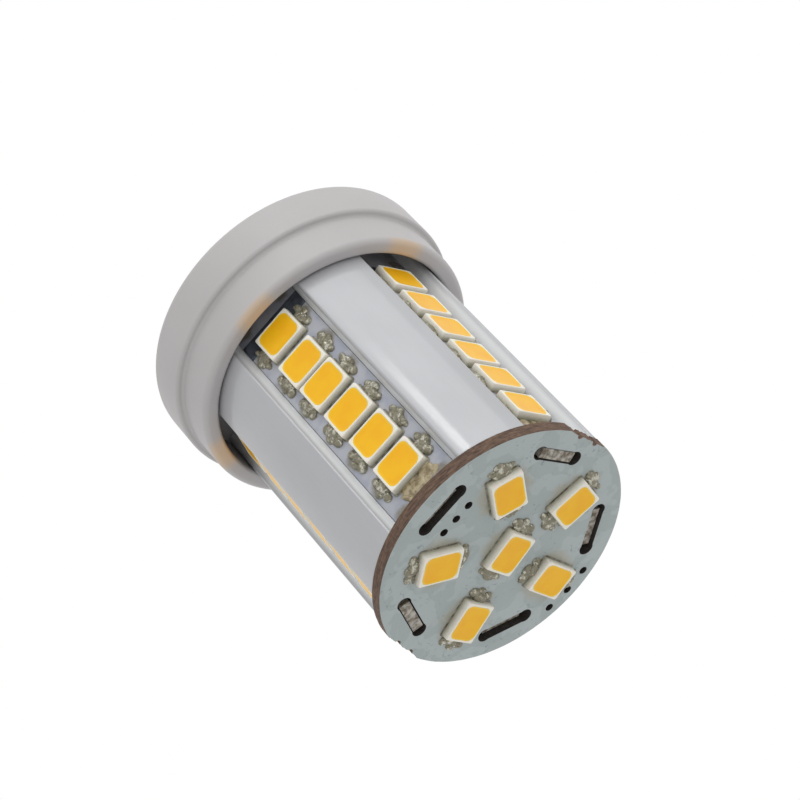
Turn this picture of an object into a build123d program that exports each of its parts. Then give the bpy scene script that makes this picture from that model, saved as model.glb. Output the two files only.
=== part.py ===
from build123d import *
from math import cos, hypot, radians, sin, sqrt, tan
import os

# Capsule lamp, in millimetres.
# The axis is +Z. The face of the plug is at z = 0, with the wire contact loops below it, and the
# round end board is at the top. Row 1 of the diodes faces -Y.

os.makedirs("parts", exist_ok=True)

# Rows of diodes round the core
row_count = 5
first_row_angle = -90.0

# Extruded core: each channel has a flat floor, whose distance is measured from the axis, upright walls as
# high as its board, and above the board walls that lean outwards
core_radius = 10.5
core_wall = 1.15
channel_width = 6.1
channel_floor_distance = 7.88
channel_flare_angle = 30.0
land_edge_radius = 0.2
exposed_core_length = 22.44

# Base housing
core_insertion = 4.2
core_fit_clearance = 0.1
spigot_wall = 1.33
spigot_length = 3.44
spigot_edge_chamfer = 0.4
shoulder_step = 0.58
shoulder_edge_chamfer = 0.25
flange_depth = 3.95
flange_edge_chamfer = 0.5
rear_cone_depth = 1.2
rear_cone_step = 1.8
rear_cone_margin = 0.8
core_seat_ledge = 0.5
rear_wall = 1.5
bore_lead_in = 0.3

# Plug block
plug_depth = 1.8
plug_side_margin = 0.8
plug_thickness = 6.4
plug_corner_radius = 1.6
plug_edge_chamfer = 0.4

# Contact loops
contact_pitch = 9.0
loop_leg_spacing = 2.8
loop_wire_radius = 0.475
loop_length = 6.3
loop_tail_length = 1.4
loop_blind_end = 0.6
loop_hole_clearance = 0.03

# Row boards: each tab stops a little below the front of the end board, by its own amount
row_board_thickness = 0.9
row_board_side_gap = 0.1
tab_width = 3.3
tab_recesses = (0.63, 0.1, 0.34, 0.59, 0.08)

# Diode packages
diode_length = 3.5
diode_width = 2.8
diode_height = 0.72
window_length = 3.05
window_width = 2.45
window_corner = 0.5
window_pocket_depth = 0.3
phosphor_dip = 0.05
diodes_per_row = 6
diode_pitch = 3.39
first_diode_drop = 5.17

# Solder joints at the ends of a diode
solder_length = 0.95
solder_width = 2.0
solder_height = 0.44
solder_crest = 0.4
solder_toe_height = 0.12

# End board
end_board_overhang = 0.04
end_board_thickness = 1.05
break_off_depth = 0.21
break_off_angles = (-4.5, 186.5)
bite_radius = 0.25
bite_pitch = 1.85
bite_count = 2
slot_side_clearance = 0.08
slot_end_clearance = 0.13
slot_relief_step = 0.06
via_radius = 0.32
via_line_gap = 1.86
via_line_pitch = 1.32
via_arc_margin = 0.9
via_arc_angle_step = 11.4
via_arc_angle = 180.0
via_count = 3

# Diodes on the end board: outward drift, drift round the ring in degrees and skew in degrees
end_ring_radius = 6.22
end_diode_drifts = (
    (-0.42, -3.2, 9.2),
    (-0.04, -3.3, 11.5),
    (0.23, 0.8, 6.7),
    (0.18, 3.8, -6.9),
    (-0.32, 0.2, 2.7),
)
end_centre_x = -0.08
end_centre_y = 0.4
end_centre_angle = 9.1

# Driver board, and the two posts whose slots hold it
driver_bore_gap = 0.5
driver_thickness = 1.0
driver_margin = 0.8
post_width = 2.0
post_wall = 0.9
post_grip = 2.4
post_clearance = 0.1

# Components on the driver board, from its foot upwards
component_gap = 0.5
package_standoff = 0.1
package_leg_width = 0.5
package_leg_thickness = 0.2
package_leg_reach = 0.9
rectifier_length = 4.7
rectifier_width = 3.9
rectifier_thickness = 2.3
rectifier_leg_pitch = 2.54
rectifier_leg_count = 2
chip_length = 4.9
chip_width = 3.9
chip_thickness = 1.4
chip_leg_pitch = 1.27
chip_leg_count = 4
film_length = 6.5
film_width = 3.2
film_height = 4.6
film_edge_chamfer = 0.3
choke_side = 6.0
choke_height = 4.0
choke_corner = 1.2
choke_drum_radius = 2.2
choke_gap_depth = 0.3
choke_gap_width = 0.3
capacitor_radius = 2.6
capacitor_base_side = 5.5
capacitor_base_height = 0.8
capacitor_base_chamfer = 1.1
capacitor_height = 4.8
capacitor_crimp_depth = 0.3
capacitor_crimp_height = 1.6
resistor_length = 5.6
resistor_width = 2.4
resistor_height = 2.0
resistor_cap_length = 1.1
resistor_cap_step = 0.08

# Insulated leads, which end on the edges of the driver board
lead_radius = 0.45
mains_lead_length = 2.0

# Distances from the axis that follow from the sizes above
core_bore_radius = channel_floor_distance - core_wall
row_face_distance = channel_floor_distance + row_board_thickness
collar_bore_radius = core_radius + core_fit_clearance
cavity_radius = channel_floor_distance - core_seat_ledge
spigot_radius = collar_bore_radius + spigot_wall
flange_radius = spigot_radius + shoulder_step
end_board_radius = core_radius + end_board_overhang
loop_inner_x = (contact_pitch - loop_leg_spacing) / 2
loop_outer_x = (contact_pitch + loop_leg_spacing) / 2
plug_width = 2 * (loop_outer_x + loop_wire_radius + plug_side_margin)
rear_cone_small_radius = hypot(plug_width, plug_thickness) / 2 + rear_cone_margin
rear_cone_large_radius = flange_radius - rear_cone_step
driver_width = 2 * sqrt((core_bore_radius - driver_bore_gap) ** 2 - (driver_thickness / 2) ** 2)

# Heights that follow from the sizes above
flange_back_z = plug_depth + rear_cone_depth
shoulder_z = flange_back_z + flange_depth
collar_front_z = shoulder_z + spigot_length
core_seat_z = collar_front_z - core_insertion
core_top_z = collar_front_z + exposed_core_length
end_face_z = core_top_z + end_board_thickness
cavity_floor_z = plug_depth + rear_wall
driver_foot_z = cavity_floor_z + loop_tail_length + mains_lead_length
row_angles = [first_row_angle - 360.0 / row_count * row for row in range(row_count)]

# Places up the driver board, each component clear of the one below it
resistor_up = driver_margin + post_grip + resistor_width / 2
film_up = resistor_up + resistor_width / 2 + component_gap + film_width / 2
choke_up = film_up + film_width / 2 + component_gap + choke_side / 2
capacitor_up = choke_up + choke_side / 2 + component_gap + capacitor_base_side / 2
driver_length = capacitor_up + capacitor_base_side / 2 + driver_margin
driver_top_z = driver_foot_z + driver_length
rectifier_up = driver_margin + post_grip + rectifier_length / 2
chip_up = rectifier_up + rectifier_length / 2 + component_gap + chip_length / 2
post_x = loop_inner_x + loop_wire_radius + component_gap + post_width / 2
supply_lead_x = post_x


def nearest_vertex(x, y):
    """The vertex of the open sketch that lies nearest to a point."""
    return min(vertices(), key=lambda vertex: hypot(vertex.X - x, vertex.Y - y))


def row_plane(angle, distance):
    """A plane across a row: x runs round the core, y up the axis and z outwards."""
    across = (-sin(radians(angle)), cos(radians(angle)), 0)
    outwards = (cos(radians(angle)), sin(radians(angle)), 0)
    return Plane(origin=(0, 0, 0), x_dir=across, z_dir=outwards).offset(distance)


def write(piece, name):
    """Label a finished piece and write its file."""
    piece.part.label = name
    export_step(piece.part, f"parts/{name}.step")


# Core: a tube with five channels, whose lands have eased edges
flare_reach = core_radius - row_face_distance
flare_half_width = channel_width / 2 + flare_reach * tan(radians(channel_flare_angle))
leaning_wall_reach = sqrt(core_radius**2 - (channel_width / 2) ** 2) - row_face_distance
with BuildPart() as core:
    with BuildSketch(Plane.XY.offset(core_seat_z)):
        Circle(core_radius)
        with PolarLocations(channel_floor_distance, row_count, first_row_angle):
            Polygon(
                (0, -channel_width / 2),
                (row_board_thickness, -channel_width / 2),
                (row_board_thickness + flare_reach, -flare_half_width),
                (row_board_thickness + flare_reach, flare_half_width),
                (row_board_thickness, channel_width / 2),
                (0, channel_width / 2),
                align=None,
                mode=Mode.SUBTRACT,
            )
        land_corners = [v for v in vertices() if hypot(v.X, v.Y) > core_radius - 0.01]
        fillet(land_corners, radius=min(land_edge_radius, leaning_wall_reach / 2))
        Circle(core_bore_radius, mode=Mode.SUBTRACT)
    extrude(amount=core_insertion + exposed_core_length)
write(core, "heat_sink_core")

# Base housing: a turned cup with a plug block behind it and slotted posts for the driver board inside
with BuildPart() as housing:
    with BuildSketch(Plane.XZ):
        with BuildLine():
            Polyline(
                (0, plug_depth),
                (rear_cone_small_radius, plug_depth),
                (rear_cone_large_radius, flange_back_z),
                (flange_radius, flange_back_z),
                (flange_radius, shoulder_z),
                (spigot_radius, shoulder_z),
                (spigot_radius, collar_front_z),
                (collar_bore_radius, collar_front_z),
                (collar_bore_radius, core_seat_z),
                (cavity_radius, core_seat_z),
                (cavity_radius, cavity_floor_z),
                (0, cavity_floor_z),
                close=True,
            )
        make_face()
        chamfer(nearest_vertex(flange_radius, flange_back_z), length=flange_edge_chamfer)
        chamfer(nearest_vertex(flange_radius, shoulder_z), length=shoulder_edge_chamfer)
        chamfer(nearest_vertex(spigot_radius, collar_front_z), length=spigot_edge_chamfer)
        chamfer(nearest_vertex(collar_bore_radius, collar_front_z), length=bore_lead_in)
    revolve(axis=Axis.Z)
    with BuildSketch(Plane.XY):
        RectangleRounded(plug_width, plug_thickness, plug_corner_radius)
    extrude(amount=cavity_floor_z - rear_wall / 2)
    chamfer(faces().sort_by(Axis.Z)[0].edges(), length=plug_edge_chamfer)
    with BuildSketch(Plane.XY.offset(cavity_floor_z)):
        with GridLocations(2 * post_x, 0, 2, 1):
            Rectangle(post_width, driver_thickness + 2 * (post_clearance + post_wall))
    extrude(amount=driver_foot_z + post_grip - cavity_floor_z)
    with BuildSketch(Plane.XY.offset(driver_foot_z)):
        Rectangle(driver_width, driver_thickness + 2 * post_clearance)
    extrude(amount=post_grip, mode=Mode.SUBTRACT)
    with Locations((-contact_pitch / 2, 0, 0), (contact_pitch / 2, 0, 0)):
        with Locations((-loop_leg_spacing / 2, 0, 0), (loop_leg_spacing / 2, 0, 0)):
            Cylinder(
                loop_wire_radius + loop_hole_clearance,
                cavity_floor_z,
                align=(Align.CENTER, Align.CENTER, Align.MIN),
                mode=Mode.SUBTRACT,
            )
write(housing, "base_housing")

# Contact loops: one wire each, bent round below the plug, with a long tail inside for its lead
loop_bend_z = loop_wire_radius + loop_leg_spacing / 2 - loop_length
for number, side in ((1, -1), (2, 1)):
    inner_x = side * loop_inner_x
    outer_x = side * loop_outer_x
    with BuildPart() as loop:
        with BuildLine() as loop_line:
            Line((inner_x, 0, cavity_floor_z + loop_tail_length), (inner_x, 0, loop_bend_z))
            ThreePointArc(
                (inner_x, 0, loop_bend_z),
                (side * contact_pitch / 2, 0, loop_bend_z - loop_leg_spacing / 2),
                (outer_x, 0, loop_bend_z),
            )
            Line((outer_x, 0, loop_bend_z), (outer_x, 0, cavity_floor_z - loop_blind_end))
        with BuildSketch(Plane(origin=loop_line.line @ 0, z_dir=loop_line.line % 0)):
            Circle(loop_wire_radius)
        sweep()
    write(loop, f"contact_loop_{number}")

# Driver board, upright with its foot in the slots of the posts
driver_front = Plane(origin=(0, -driver_thickness / 2, driver_foot_z), x_dir=(1, 0, 0), z_dir=(0, -1, 0))
driver_back = Plane(origin=(0, driver_thickness / 2, driver_foot_z), x_dir=(-1, 0, 0), z_dir=(0, 1, 0))
with BuildPart() as driver_board:
    with BuildSketch(driver_front):
        Rectangle(driver_width, driver_length, align=(Align.CENTER, Align.MIN))
    extrude(amount=-driver_thickness)
write(driver_board, "driver_board")


def legged_package(height_up, length, width, thickness, leg_pitch, legs_a_side):
    """A moulded package on the back of the driver board, on legs down both sides."""
    with BuildPart() as package:
        with BuildSketch(driver_back.offset(package_standoff)):
            with Locations((0, height_up)):
                Rectangle(width, length)
        extrude(amount=thickness)
        for side in (-1, 1):
            with BuildSketch(driver_back):
                with Locations((side * (width + package_leg_reach) / 2, height_up)):
                    with GridLocations(0, leg_pitch, 1, legs_a_side):
                        Rectangle(package_leg_reach, package_leg_width)
            extrude(amount=package_standoff + thickness / 2)
            foot_start = side * (width / 2 + package_leg_thickness)
            foot_shift = side * package_leg_reach / 2
            with BuildSketch(driver_back.offset(package_leg_thickness)):
                with Locations((foot_start + foot_shift, height_up)):
                    with GridLocations(0, leg_pitch, 1, legs_a_side):
                        Rectangle(package_leg_reach, package_leg_width)
            extrude(amount=package_standoff + thickness, mode=Mode.SUBTRACT)
    return package


rectifier = legged_package(
    rectifier_up,
    rectifier_length,
    rectifier_width,
    rectifier_thickness,
    rectifier_leg_pitch,
    rectifier_leg_count,
)
write(rectifier, "bridge_rectifier")

chip = legged_package(chip_up, chip_length, chip_width, chip_thickness, chip_leg_pitch, chip_leg_count)
write(chip, "driver_chip")

# Film capacitor: a moulded box
with BuildPart() as film_capacitor:
    with BuildSketch(driver_front):
        with Locations((0, film_up)):
            Rectangle(film_length, film_width)
        chamfer(vertices(), length=film_edge_chamfer)
    extrude(amount=film_height)
write(film_capacitor, "film_capacitor")

# Choke: a square shield with a ring gap round its drum
with BuildPart() as choke:
    with BuildSketch(driver_front):
        with Locations((0, choke_up)):
            Rectangle(choke_side, choke_side)
        chamfer(vertices(), length=choke_corner)
    extrude(amount=choke_height)
    with BuildSketch(driver_front.offset(choke_height)):
        with Locations((0, choke_up)):
            Circle(choke_drum_radius + choke_gap_width)
            Circle(choke_drum_radius, mode=Mode.SUBTRACT)
    extrude(amount=-choke_gap_depth, mode=Mode.SUBTRACT)
write(choke, "choke")

# Smoothing capacitor: a can with a crimped neck on a square foot
with BuildPart() as smoothing_capacitor:
    with BuildSketch(driver_front):
        with Locations((0, capacitor_up)):
            Rectangle(capacitor_base_side, capacitor_base_side)
        chamfer(vertices().group_by(Axis.Y)[-1], length=capacitor_base_chamfer)
    extrude(amount=capacitor_base_height)
    with BuildSketch(driver_front):
        with Locations((0, capacitor_up)):
            Circle(capacitor_radius)
    extrude(amount=capacitor_height)
    with BuildSketch(driver_front.offset(capacitor_crimp_height)):
        with Locations((0, capacitor_up)):
            Circle(capacitor_radius)
            Circle(capacitor_radius - capacitor_crimp_depth, mode=Mode.SUBTRACT)
    extrude(amount=capacitor_crimp_depth, mode=Mode.SUBTRACT)
write(smoothing_capacitor, "smoothing_capacitor")

# Fuse resistor: a ceramic block with proud metal caps on its ends
with BuildPart() as resistor:
    with BuildSketch(driver_front):
        with Locations((0, resistor_up)):
            Rectangle(resistor_length, resistor_width)
    extrude(amount=resistor_height)
    with BuildSketch(driver_front):
        with Locations((0, resistor_up)):
            Rectangle(resistor_length - 2 * resistor_cap_length, resistor_width)
            Rectangle(
                resistor_length - 2 * resistor_cap_length,
                resistor_width - 2 * resistor_cap_step,
                mode=Mode.SUBTRACT,
            )
    extrude(amount=resistor_height, mode=Mode.SUBTRACT)
    with BuildSketch(driver_front.offset(resistor_height)):
        with Locations((0, resistor_up)):
            Rectangle(resistor_length - 2 * resistor_cap_length, resistor_width)
    extrude(amount=-resistor_cap_step, mode=Mode.SUBTRACT)
write(resistor, "fuse_resistor")


# Leads: the mains leads rise from the loops' tails, and the supply leads go on to the end board
for number, side in ((1, -1), (2, 1)):
    with BuildPart() as mains_lead:
        with BuildSketch(Plane.XY.offset(cavity_floor_z + loop_tail_length)):
            with Locations((side * loop_inner_x, 0)):
                Circle(lead_radius)
        extrude(amount=mains_lead_length)
    write(mains_lead, f"mains_lead_{number}")
    with BuildPart() as supply_lead:
        with BuildSketch(Plane.XY.offset(driver_top_z)):
            with Locations((side * supply_lead_x, 0)):
                Circle(lead_radius)
        extrude(amount=core_top_z - driver_top_z)
    write(supply_lead, f"supply_lead_{number}")

# End board: a disc with a slot for the tab of each row board
slot_distance = channel_floor_distance + row_board_thickness / 2
slot_width = row_board_thickness + 2 * slot_side_clearance
slot_length = tab_width + 2 * slot_end_clearance
slot_relief_radius = slot_width / 2 + slot_relief_step
via_arc_range = via_arc_angle_step * (via_count - 1)
with BuildPart() as end_board:
    with BuildSketch(Plane.XY.offset(core_top_z)):
        Circle(end_board_radius)
        with PolarLocations(slot_distance, row_count, first_row_angle):
            Rectangle(slot_width, slot_length, mode=Mode.SUBTRACT)
            with Locations((0, -slot_length / 2), (0, slot_length / 2)):
                Circle(slot_relief_radius, mode=Mode.SUBTRACT)
        for angle in break_off_angles:
            with PolarLocations(end_board_radius - break_off_depth, 1, angle):
                Rectangle(
                    end_board_radius,
                    2 * end_board_radius,
                    align=(Align.MIN, Align.CENTER),
                    mode=Mode.SUBTRACT,
                )
                with GridLocations(0, bite_pitch, 1, bite_count):
                    Circle(bite_radius, mode=Mode.SUBTRACT)
        with PolarLocations(slot_distance - via_line_gap, 1, first_row_angle):
            with GridLocations(0, via_line_pitch, 1, via_count):
                Circle(via_radius, mode=Mode.SUBTRACT)
        with PolarLocations(
            end_board_radius - via_arc_margin,
            via_count,
            first_row_angle + via_arc_angle - via_arc_range / 2,
            via_arc_range,
            endpoint=True,
        ):
            Circle(via_radius, mode=Mode.SUBTRACT)
    extrude(amount=end_board_thickness)
write(end_board, "end_board")


def diode_packages(face_plane, places):
    """White packages, each with a pocket for its phosphor, at places on a plane."""
    with BuildPart() as packages:
        with BuildSketch(face_plane):
            with Locations(*places):
                Rectangle(diode_length, diode_width)
        extrude(amount=diode_height)
        with BuildSketch(face_plane.offset(diode_height)):
            with Locations(*places):
                Rectangle(window_length, window_width)
            chamfer(vertices(), length=window_corner)
        extrude(amount=-window_pocket_depth, mode=Mode.SUBTRACT)
    return packages


def phosphor_fills(face_plane, places):
    """The fills of the packages' pockets, a little below their rims."""
    with BuildPart() as fills:
        with BuildSketch(face_plane.offset(diode_height - window_pocket_depth)):
            with Locations(*places):
                Rectangle(window_length, window_width)
            chamfer(vertices(), length=window_corner)
        extrude(amount=window_pocket_depth - phosphor_dip)
    return fills


def solder_joints(face_plane, places):
    """A wedge of solder at each end of each diode, highest where it meets the package."""
    with BuildPart() as joints:
        for place in places:
            section = Plane(face_plane.location * place * Location((0, solder_width / 2, 0), (90, 0, 0)))
            with BuildSketch(section) as joint_section:
                with BuildLine():
                    Polyline(
                        (diode_length / 2, 0),
                        (diode_length / 2 + solder_length, 0),
                        (diode_length / 2 + solder_length, solder_toe_height),
                        (diode_length / 2 + solder_crest, solder_height),
                        (diode_length / 2, solder_height),
                        close=True,
                    )
                make_face()
                mirror(about=Plane.YZ)
            extrude(amount=solder_width)
    return joints


# Row boards with their diodes, phosphor fills and solder joints
first_diode_z = end_face_z - first_diode_drop
row_places = [Location((0, first_diode_z - diode_pitch * step)) for step in range(diodes_per_row)]
for number, (angle, tab_recess) in enumerate(zip(row_angles, tab_recesses), start=1):
    with BuildPart() as row_board:
        with BuildSketch(row_plane(angle, channel_floor_distance)):
            with Locations((0, core_seat_z)):
                Rectangle(
                    channel_width - 2 * row_board_side_gap,
                    core_top_z - core_seat_z,
                    align=(Align.CENTER, Align.MIN),
                )
                Rectangle(
                    tab_width,
                    end_face_z - tab_recess - core_seat_z,
                    align=(Align.CENTER, Align.MIN),
                )
        extrude(amount=row_board_thickness)
    write(row_board, f"row_board_{number}")
    row_face = row_plane(angle, row_face_distance)
    write(diode_packages(row_face, row_places), f"row_diodes_{number}")
    write(phosphor_fills(row_face, row_places), f"row_phosphors_{number}")
    write(solder_joints(row_face, row_places), f"row_solder_{number}")

# Diodes of the end board: one at the centre and five round it, placed by hand and slightly askew
end_places = [Location((end_centre_x, end_centre_y, 0), (0, 0, end_centre_angle))]
for land, (drift_out, drift_round, skew) in enumerate(end_diode_drifts):
    angle = first_row_angle - 360.0 / row_count * (land + 0.5) + drift_round
    distance = end_ring_radius + drift_out
    x = distance * cos(radians(angle))
    y = distance * sin(radians(angle))
    end_places.append(Location((x, y, 0), (0, 0, angle + skew)))
end_face = Plane.XY.offset(end_face_z)
write(diode_packages(end_face, end_places), "end_diodes")
write(phosphor_fills(end_face, end_places), "end_phosphors")
write(solder_joints(end_face, end_places), "end_solder")
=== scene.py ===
"""Capsule lamp, dressed round its CAD frame.

The core, the collar, the boards and the diodes are built finely here, and the driver inside the core
keeps its CAD solids with finishes of its own. Lengths are in metres, apart from the small ones in
end_drifts, first_row_drifts, crumb_places, fill_rings and smear_sides, which are in millimetres.
"""

import logging
import math
import random
from collections.abc import Iterable, Sequence
from dataclasses import dataclass, field
from enum import Enum

import bmesh
import bpy
from mathutils import Matrix, Vector, noise
from mathutils.geometry import tessellate_polygon


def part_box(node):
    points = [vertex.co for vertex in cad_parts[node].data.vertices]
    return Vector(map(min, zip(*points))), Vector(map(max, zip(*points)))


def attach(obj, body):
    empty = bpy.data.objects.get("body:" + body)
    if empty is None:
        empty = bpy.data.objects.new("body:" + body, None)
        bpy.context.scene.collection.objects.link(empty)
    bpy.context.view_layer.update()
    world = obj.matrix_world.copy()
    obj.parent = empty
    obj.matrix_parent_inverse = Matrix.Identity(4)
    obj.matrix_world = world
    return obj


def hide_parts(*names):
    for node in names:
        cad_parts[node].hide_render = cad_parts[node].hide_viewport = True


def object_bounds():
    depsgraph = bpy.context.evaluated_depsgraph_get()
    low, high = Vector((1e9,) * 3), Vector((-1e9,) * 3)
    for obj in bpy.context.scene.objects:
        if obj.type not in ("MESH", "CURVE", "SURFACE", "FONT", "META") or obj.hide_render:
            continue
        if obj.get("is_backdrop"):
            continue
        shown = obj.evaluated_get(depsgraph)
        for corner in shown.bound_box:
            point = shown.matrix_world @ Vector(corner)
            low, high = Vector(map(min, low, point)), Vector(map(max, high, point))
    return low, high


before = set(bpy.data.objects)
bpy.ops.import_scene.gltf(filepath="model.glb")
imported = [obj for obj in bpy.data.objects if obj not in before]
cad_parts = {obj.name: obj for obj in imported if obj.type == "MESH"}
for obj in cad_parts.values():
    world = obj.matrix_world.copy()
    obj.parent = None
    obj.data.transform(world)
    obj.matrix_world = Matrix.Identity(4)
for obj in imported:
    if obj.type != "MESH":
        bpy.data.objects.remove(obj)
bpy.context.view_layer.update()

MM = 0.001
BODY = "root"
FACING = 0.5
LEVEL = 0.999
DOUBLES = 1e-7
WALL_SUPPORT = 1.3
SHARPEST_SPREAD = 0.3
log = logging.getLogger("capsule_lamp")

Colour = tuple[float, float, float]
Feed = "bpy.types.NodeSocket | float | tuple | bpy.types.Object | bpy.types.Material"


def srgb(red: int, green: int, blue: int) -> Colour:
    """Turn a screen colour into the linear colour that a shader takes.

    Args:
        red: red from 0 to 255.
        green: green from 0 to 255.
        blue: blue from 0 to 255.

    Returns:
        The three linear values.
    """
    shares = (red / 255, green / 255, blue / 255)
    return tuple(s / 12.92 if s <= 0.04045 else ((s + 0.055) / 1.055) ** 2.4 for s in shares)


class Wiring:
    """Adds and joins the nodes of one tree."""

    def __init__(self, tree: bpy.types.NodeTree) -> None:
        """Work on a tree.

        Args:
            tree: the shader or geometry tree to fill.
        """
        self.tree = tree

    def feed(self, socket: bpy.types.NodeSocket, value: Feed) -> None:
        """Link a socket's source to it, or set its value.

        Args:
            socket: the input to fill.
            value: another node's output, or a plain value.
        """
        if isinstance(value, bpy.types.NodeSocket):
            self.tree.links.new(value, socket)
        elif socket.type == "RGBA" and len(value) == 3:
            socket.default_value = (*value, 1.0)
        else:
            socket.default_value = value

    def add(self, kind: str, inputs: dict[str | int, Feed] | None = None,
            **settings: object) -> bpy.types.Node:
        """Add a node.

        Args:
            kind: the node's type name.
            inputs: what each input takes, by its name or number.
            settings: the node's own properties.

        Returns:
            The new node.
        """
        node = self.tree.nodes.new(kind)
        for name, value in settings.items():
            setattr(node, name, value)
        for key, value in (inputs or {}).items():
            self.feed(node.inputs[key], value)
        return node

    def sum(self, operation: str, *terms: Feed) -> bpy.types.NodeSocket:
        """One step of arithmetic on values.

        Args:
            operation: the Math node's operation.
            terms: its inputs in order.

        Returns:
            The value socket.
        """
        return self.add("ShaderNodeMath", dict(enumerate(terms)), operation=operation).outputs[0]

    def line(self, value: Feed, slope: float, start: Feed) -> bpy.types.NodeSocket:
        """The value times a slope, added to a start."""
        return self.sum("MULTIPLY_ADD", value, slope, start)

    def measure(self, operation: str, *vectors: Feed) -> bpy.types.NodeSocket:
        """The number that a Vector Math operation gives, such as a length or a distance."""
        node = self.add("ShaderNodeVectorMath", dict(enumerate(vectors)), operation=operation)
        return node.outputs["Value"]

    def seen_plainly(self) -> bpy.types.NodeSocket:
        """1 on the camera's own rays and on those that a gloss or a clear piece passes on, else 0."""
        path = self.add("ShaderNodeLightPath").outputs
        passed_on = self.sum("MAXIMUM", path["Is Glossy Ray"], path["Is Transmission Ray"])
        return self.sum("MAXIMUM", path["Is Camera Ray"], passed_on)


class Paint(Wiring):
    """The shader tree of one material, with the steps that the finishes share."""

    def __init__(self, name: str) -> None:
        """Start an empty material.

        Args:
            name: the material's name.
        """
        self.material = bpy.data.materials.new(name)
        self.material.use_nodes = True
        super().__init__(self.material.node_tree)
        self.tree.nodes.clear()

    def place(self, stretch: Sequence[float] = (1, 1, 1)) -> bpy.types.NodeSocket:
        """The place on the piece, stretched along each axis.

        Args:
            stretch: the factor for x, y and z.

        Returns:
            The vector socket.
        """
        source = self.add("ShaderNodeTexCoord").outputs["Object"]
        return self.add("ShaderNodeMapping", {"Vector": source, "Scale": tuple(stretch)}).outputs[0]

    def own(self, name: str) -> bpy.types.NodeSocket:
        """A value that the mesh carries at each point."""
        return self.add("ShaderNodeAttribute", attribute_name=name).outputs["Fac"]

    def chart(self, name: str) -> bpy.types.NodeSocket:
        """The piece's own flat coordinates, from its UV map."""
        return self.add("ShaderNodeUVMap", uv_map=name).outputs["UV"]

    def cloud(self, vector: bpy.types.NodeSocket, grain: float, detail: float = 4.0) -> bpy.types.NodeSocket:
        """Noise between 0 and 1.

        Args:
            vector: where it is read.
            grain: the size of its patches.
            detail: how many finer layers it has.

        Returns:
            The value socket.
        """
        inputs = {"Vector": vector, "Scale": 1 / grain, "Detail": detail, "Roughness": 0.55}
        return self.add("ShaderNodeTexNoise", inputs).outputs["Fac"]

    def between(self, value: bpy.types.NodeSocket, start: float, end: float) -> bpy.types.NodeSocket:
        """A soft step: 0 where the value is at start and 1 where it is at end."""
        inputs = {"Value": value, "From Min": start, "From Max": end}
        return self.add("ShaderNodeMapRange", inputs, interpolation_type="SMOOTHSTEP").outputs[0]

    def blend(self, share: Feed, under: Feed, over: Feed) -> bpy.types.NodeSocket:
        """Lay one colour over another.

        Args:
            share: how much of the upper colour shows.
            under: the lower colour.
            over: the upper colour.

        Returns:
            The colour socket.
        """
        node = self.add("ShaderNodeMix", data_type="RGBA")
        for identifier, value in (("Factor_Float", share), ("A_Color", under), ("B_Color", over)):
            self.feed(next(s for s in node.inputs if s.identifier == identifier), value)
        return next(s for s in node.outputs if s.identifier == "Result_Color")

    def relief(self, height: bpy.types.NodeSocket, depth: float, strength: float = 1.0,
               under: bpy.types.NodeSocket | None = None) -> bpy.types.NodeSocket:
        """Turn a height into a bumped normal.

        Args:
            height: the height from 0 to 1.
            depth: how deep a full step is.
            strength: the share of the effect.
            under: another bumped normal to add it to.

        Returns:
            The normal socket.
        """
        inputs = {"Height": height, "Distance": depth, "Strength": strength}
        if under is not None:
            inputs["Normal"] = under
        return self.add("ShaderNodeBump", inputs).outputs[0]

    def coat(self, inputs: dict[str | int, Feed]) -> bpy.types.Material:
        """Close the material with its surface shader.

        Args:
            inputs: what the surface shader takes.

        Returns:
            The finished material.
        """
        surface = self.add("ShaderNodeBsdfPrincipled", inputs)
        self.add("ShaderNodeOutputMaterial", {"Surface": surface.outputs[0]})
        return self.material


class Finish:
    """A finish that is made once and then shared by the pieces that wear it."""

    name: str

    def inputs(self, paint: Paint) -> dict[str | int, Feed]:
        """Lay the finish's nodes.

        Args:
            paint: the material's tree.

        Returns:
            What the surface shader takes.
        """
        raise NotImplementedError

    def material(self) -> bpy.types.Material:
        """The material, made when it is first asked for."""
        made = bpy.data.materials.get(self.name)
        if made is None:
            paint = Paint(self.name)
            made = paint.coat(self.inputs(paint))
        return made


@dataclass(frozen=True)
class SatinAluminium(Finish):
    """Extruded aluminium with fine die lines along the core, and painted light that makes the walls in its
    channels paler.
    """

    name: str = "satin_aluminium"
    colour: Colour = srgb(168, 169, 172)
    # wall: painted light, the paler colour of the lit walls in the channels.
    wall: Colour = srgb(218, 220, 221)
    streak: Colour = srgb(216, 216, 218)
    painted_light_radii: tuple[float, float] = (10.4 * MM, 9.9 * MM)
    line_width: float = 0.09 * MM
    line_stretch: float = 0.02
    patch: float = 3.0 * MM

    def inputs(self, paint: Paint) -> dict[str | int, Feed]:
        """Lay the finish's nodes, and give what the surface shader takes."""
        lines = paint.cloud(paint.place((1, 1, self.line_stretch)), self.line_width, 3)
        patches = paint.cloud(paint.place((1, 1, 0.35)), self.patch, 3)
        darker = tuple(c * 0.95 for c in self.colour)
        dulled = paint.blend(paint.between(patches, 0.3, 0.75), self.colour, darker)
        radius = paint.measure("LENGTH", paint.place((1, 1, 0)))
        # Painted light: inside the given radii the channel walls take the paler wall colour.
        dulled = paint.blend(paint.between(radius, *self.painted_light_radii), dulled, self.wall)
        streaked = paint.blend(paint.sum("MULTIPLY", lines, 0.1), dulled, self.streak)
        return {"Base Color": streaked, "Metallic": 0.2, "Roughness": paint.line(patches, 0.15, 0.42),
                "Normal": paint.relief(lines, 0.002 * MM, 0.4),
                "Coat Weight": 0.8, "Coat Roughness": 0.1, "Coat IOR": 1.45}


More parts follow.
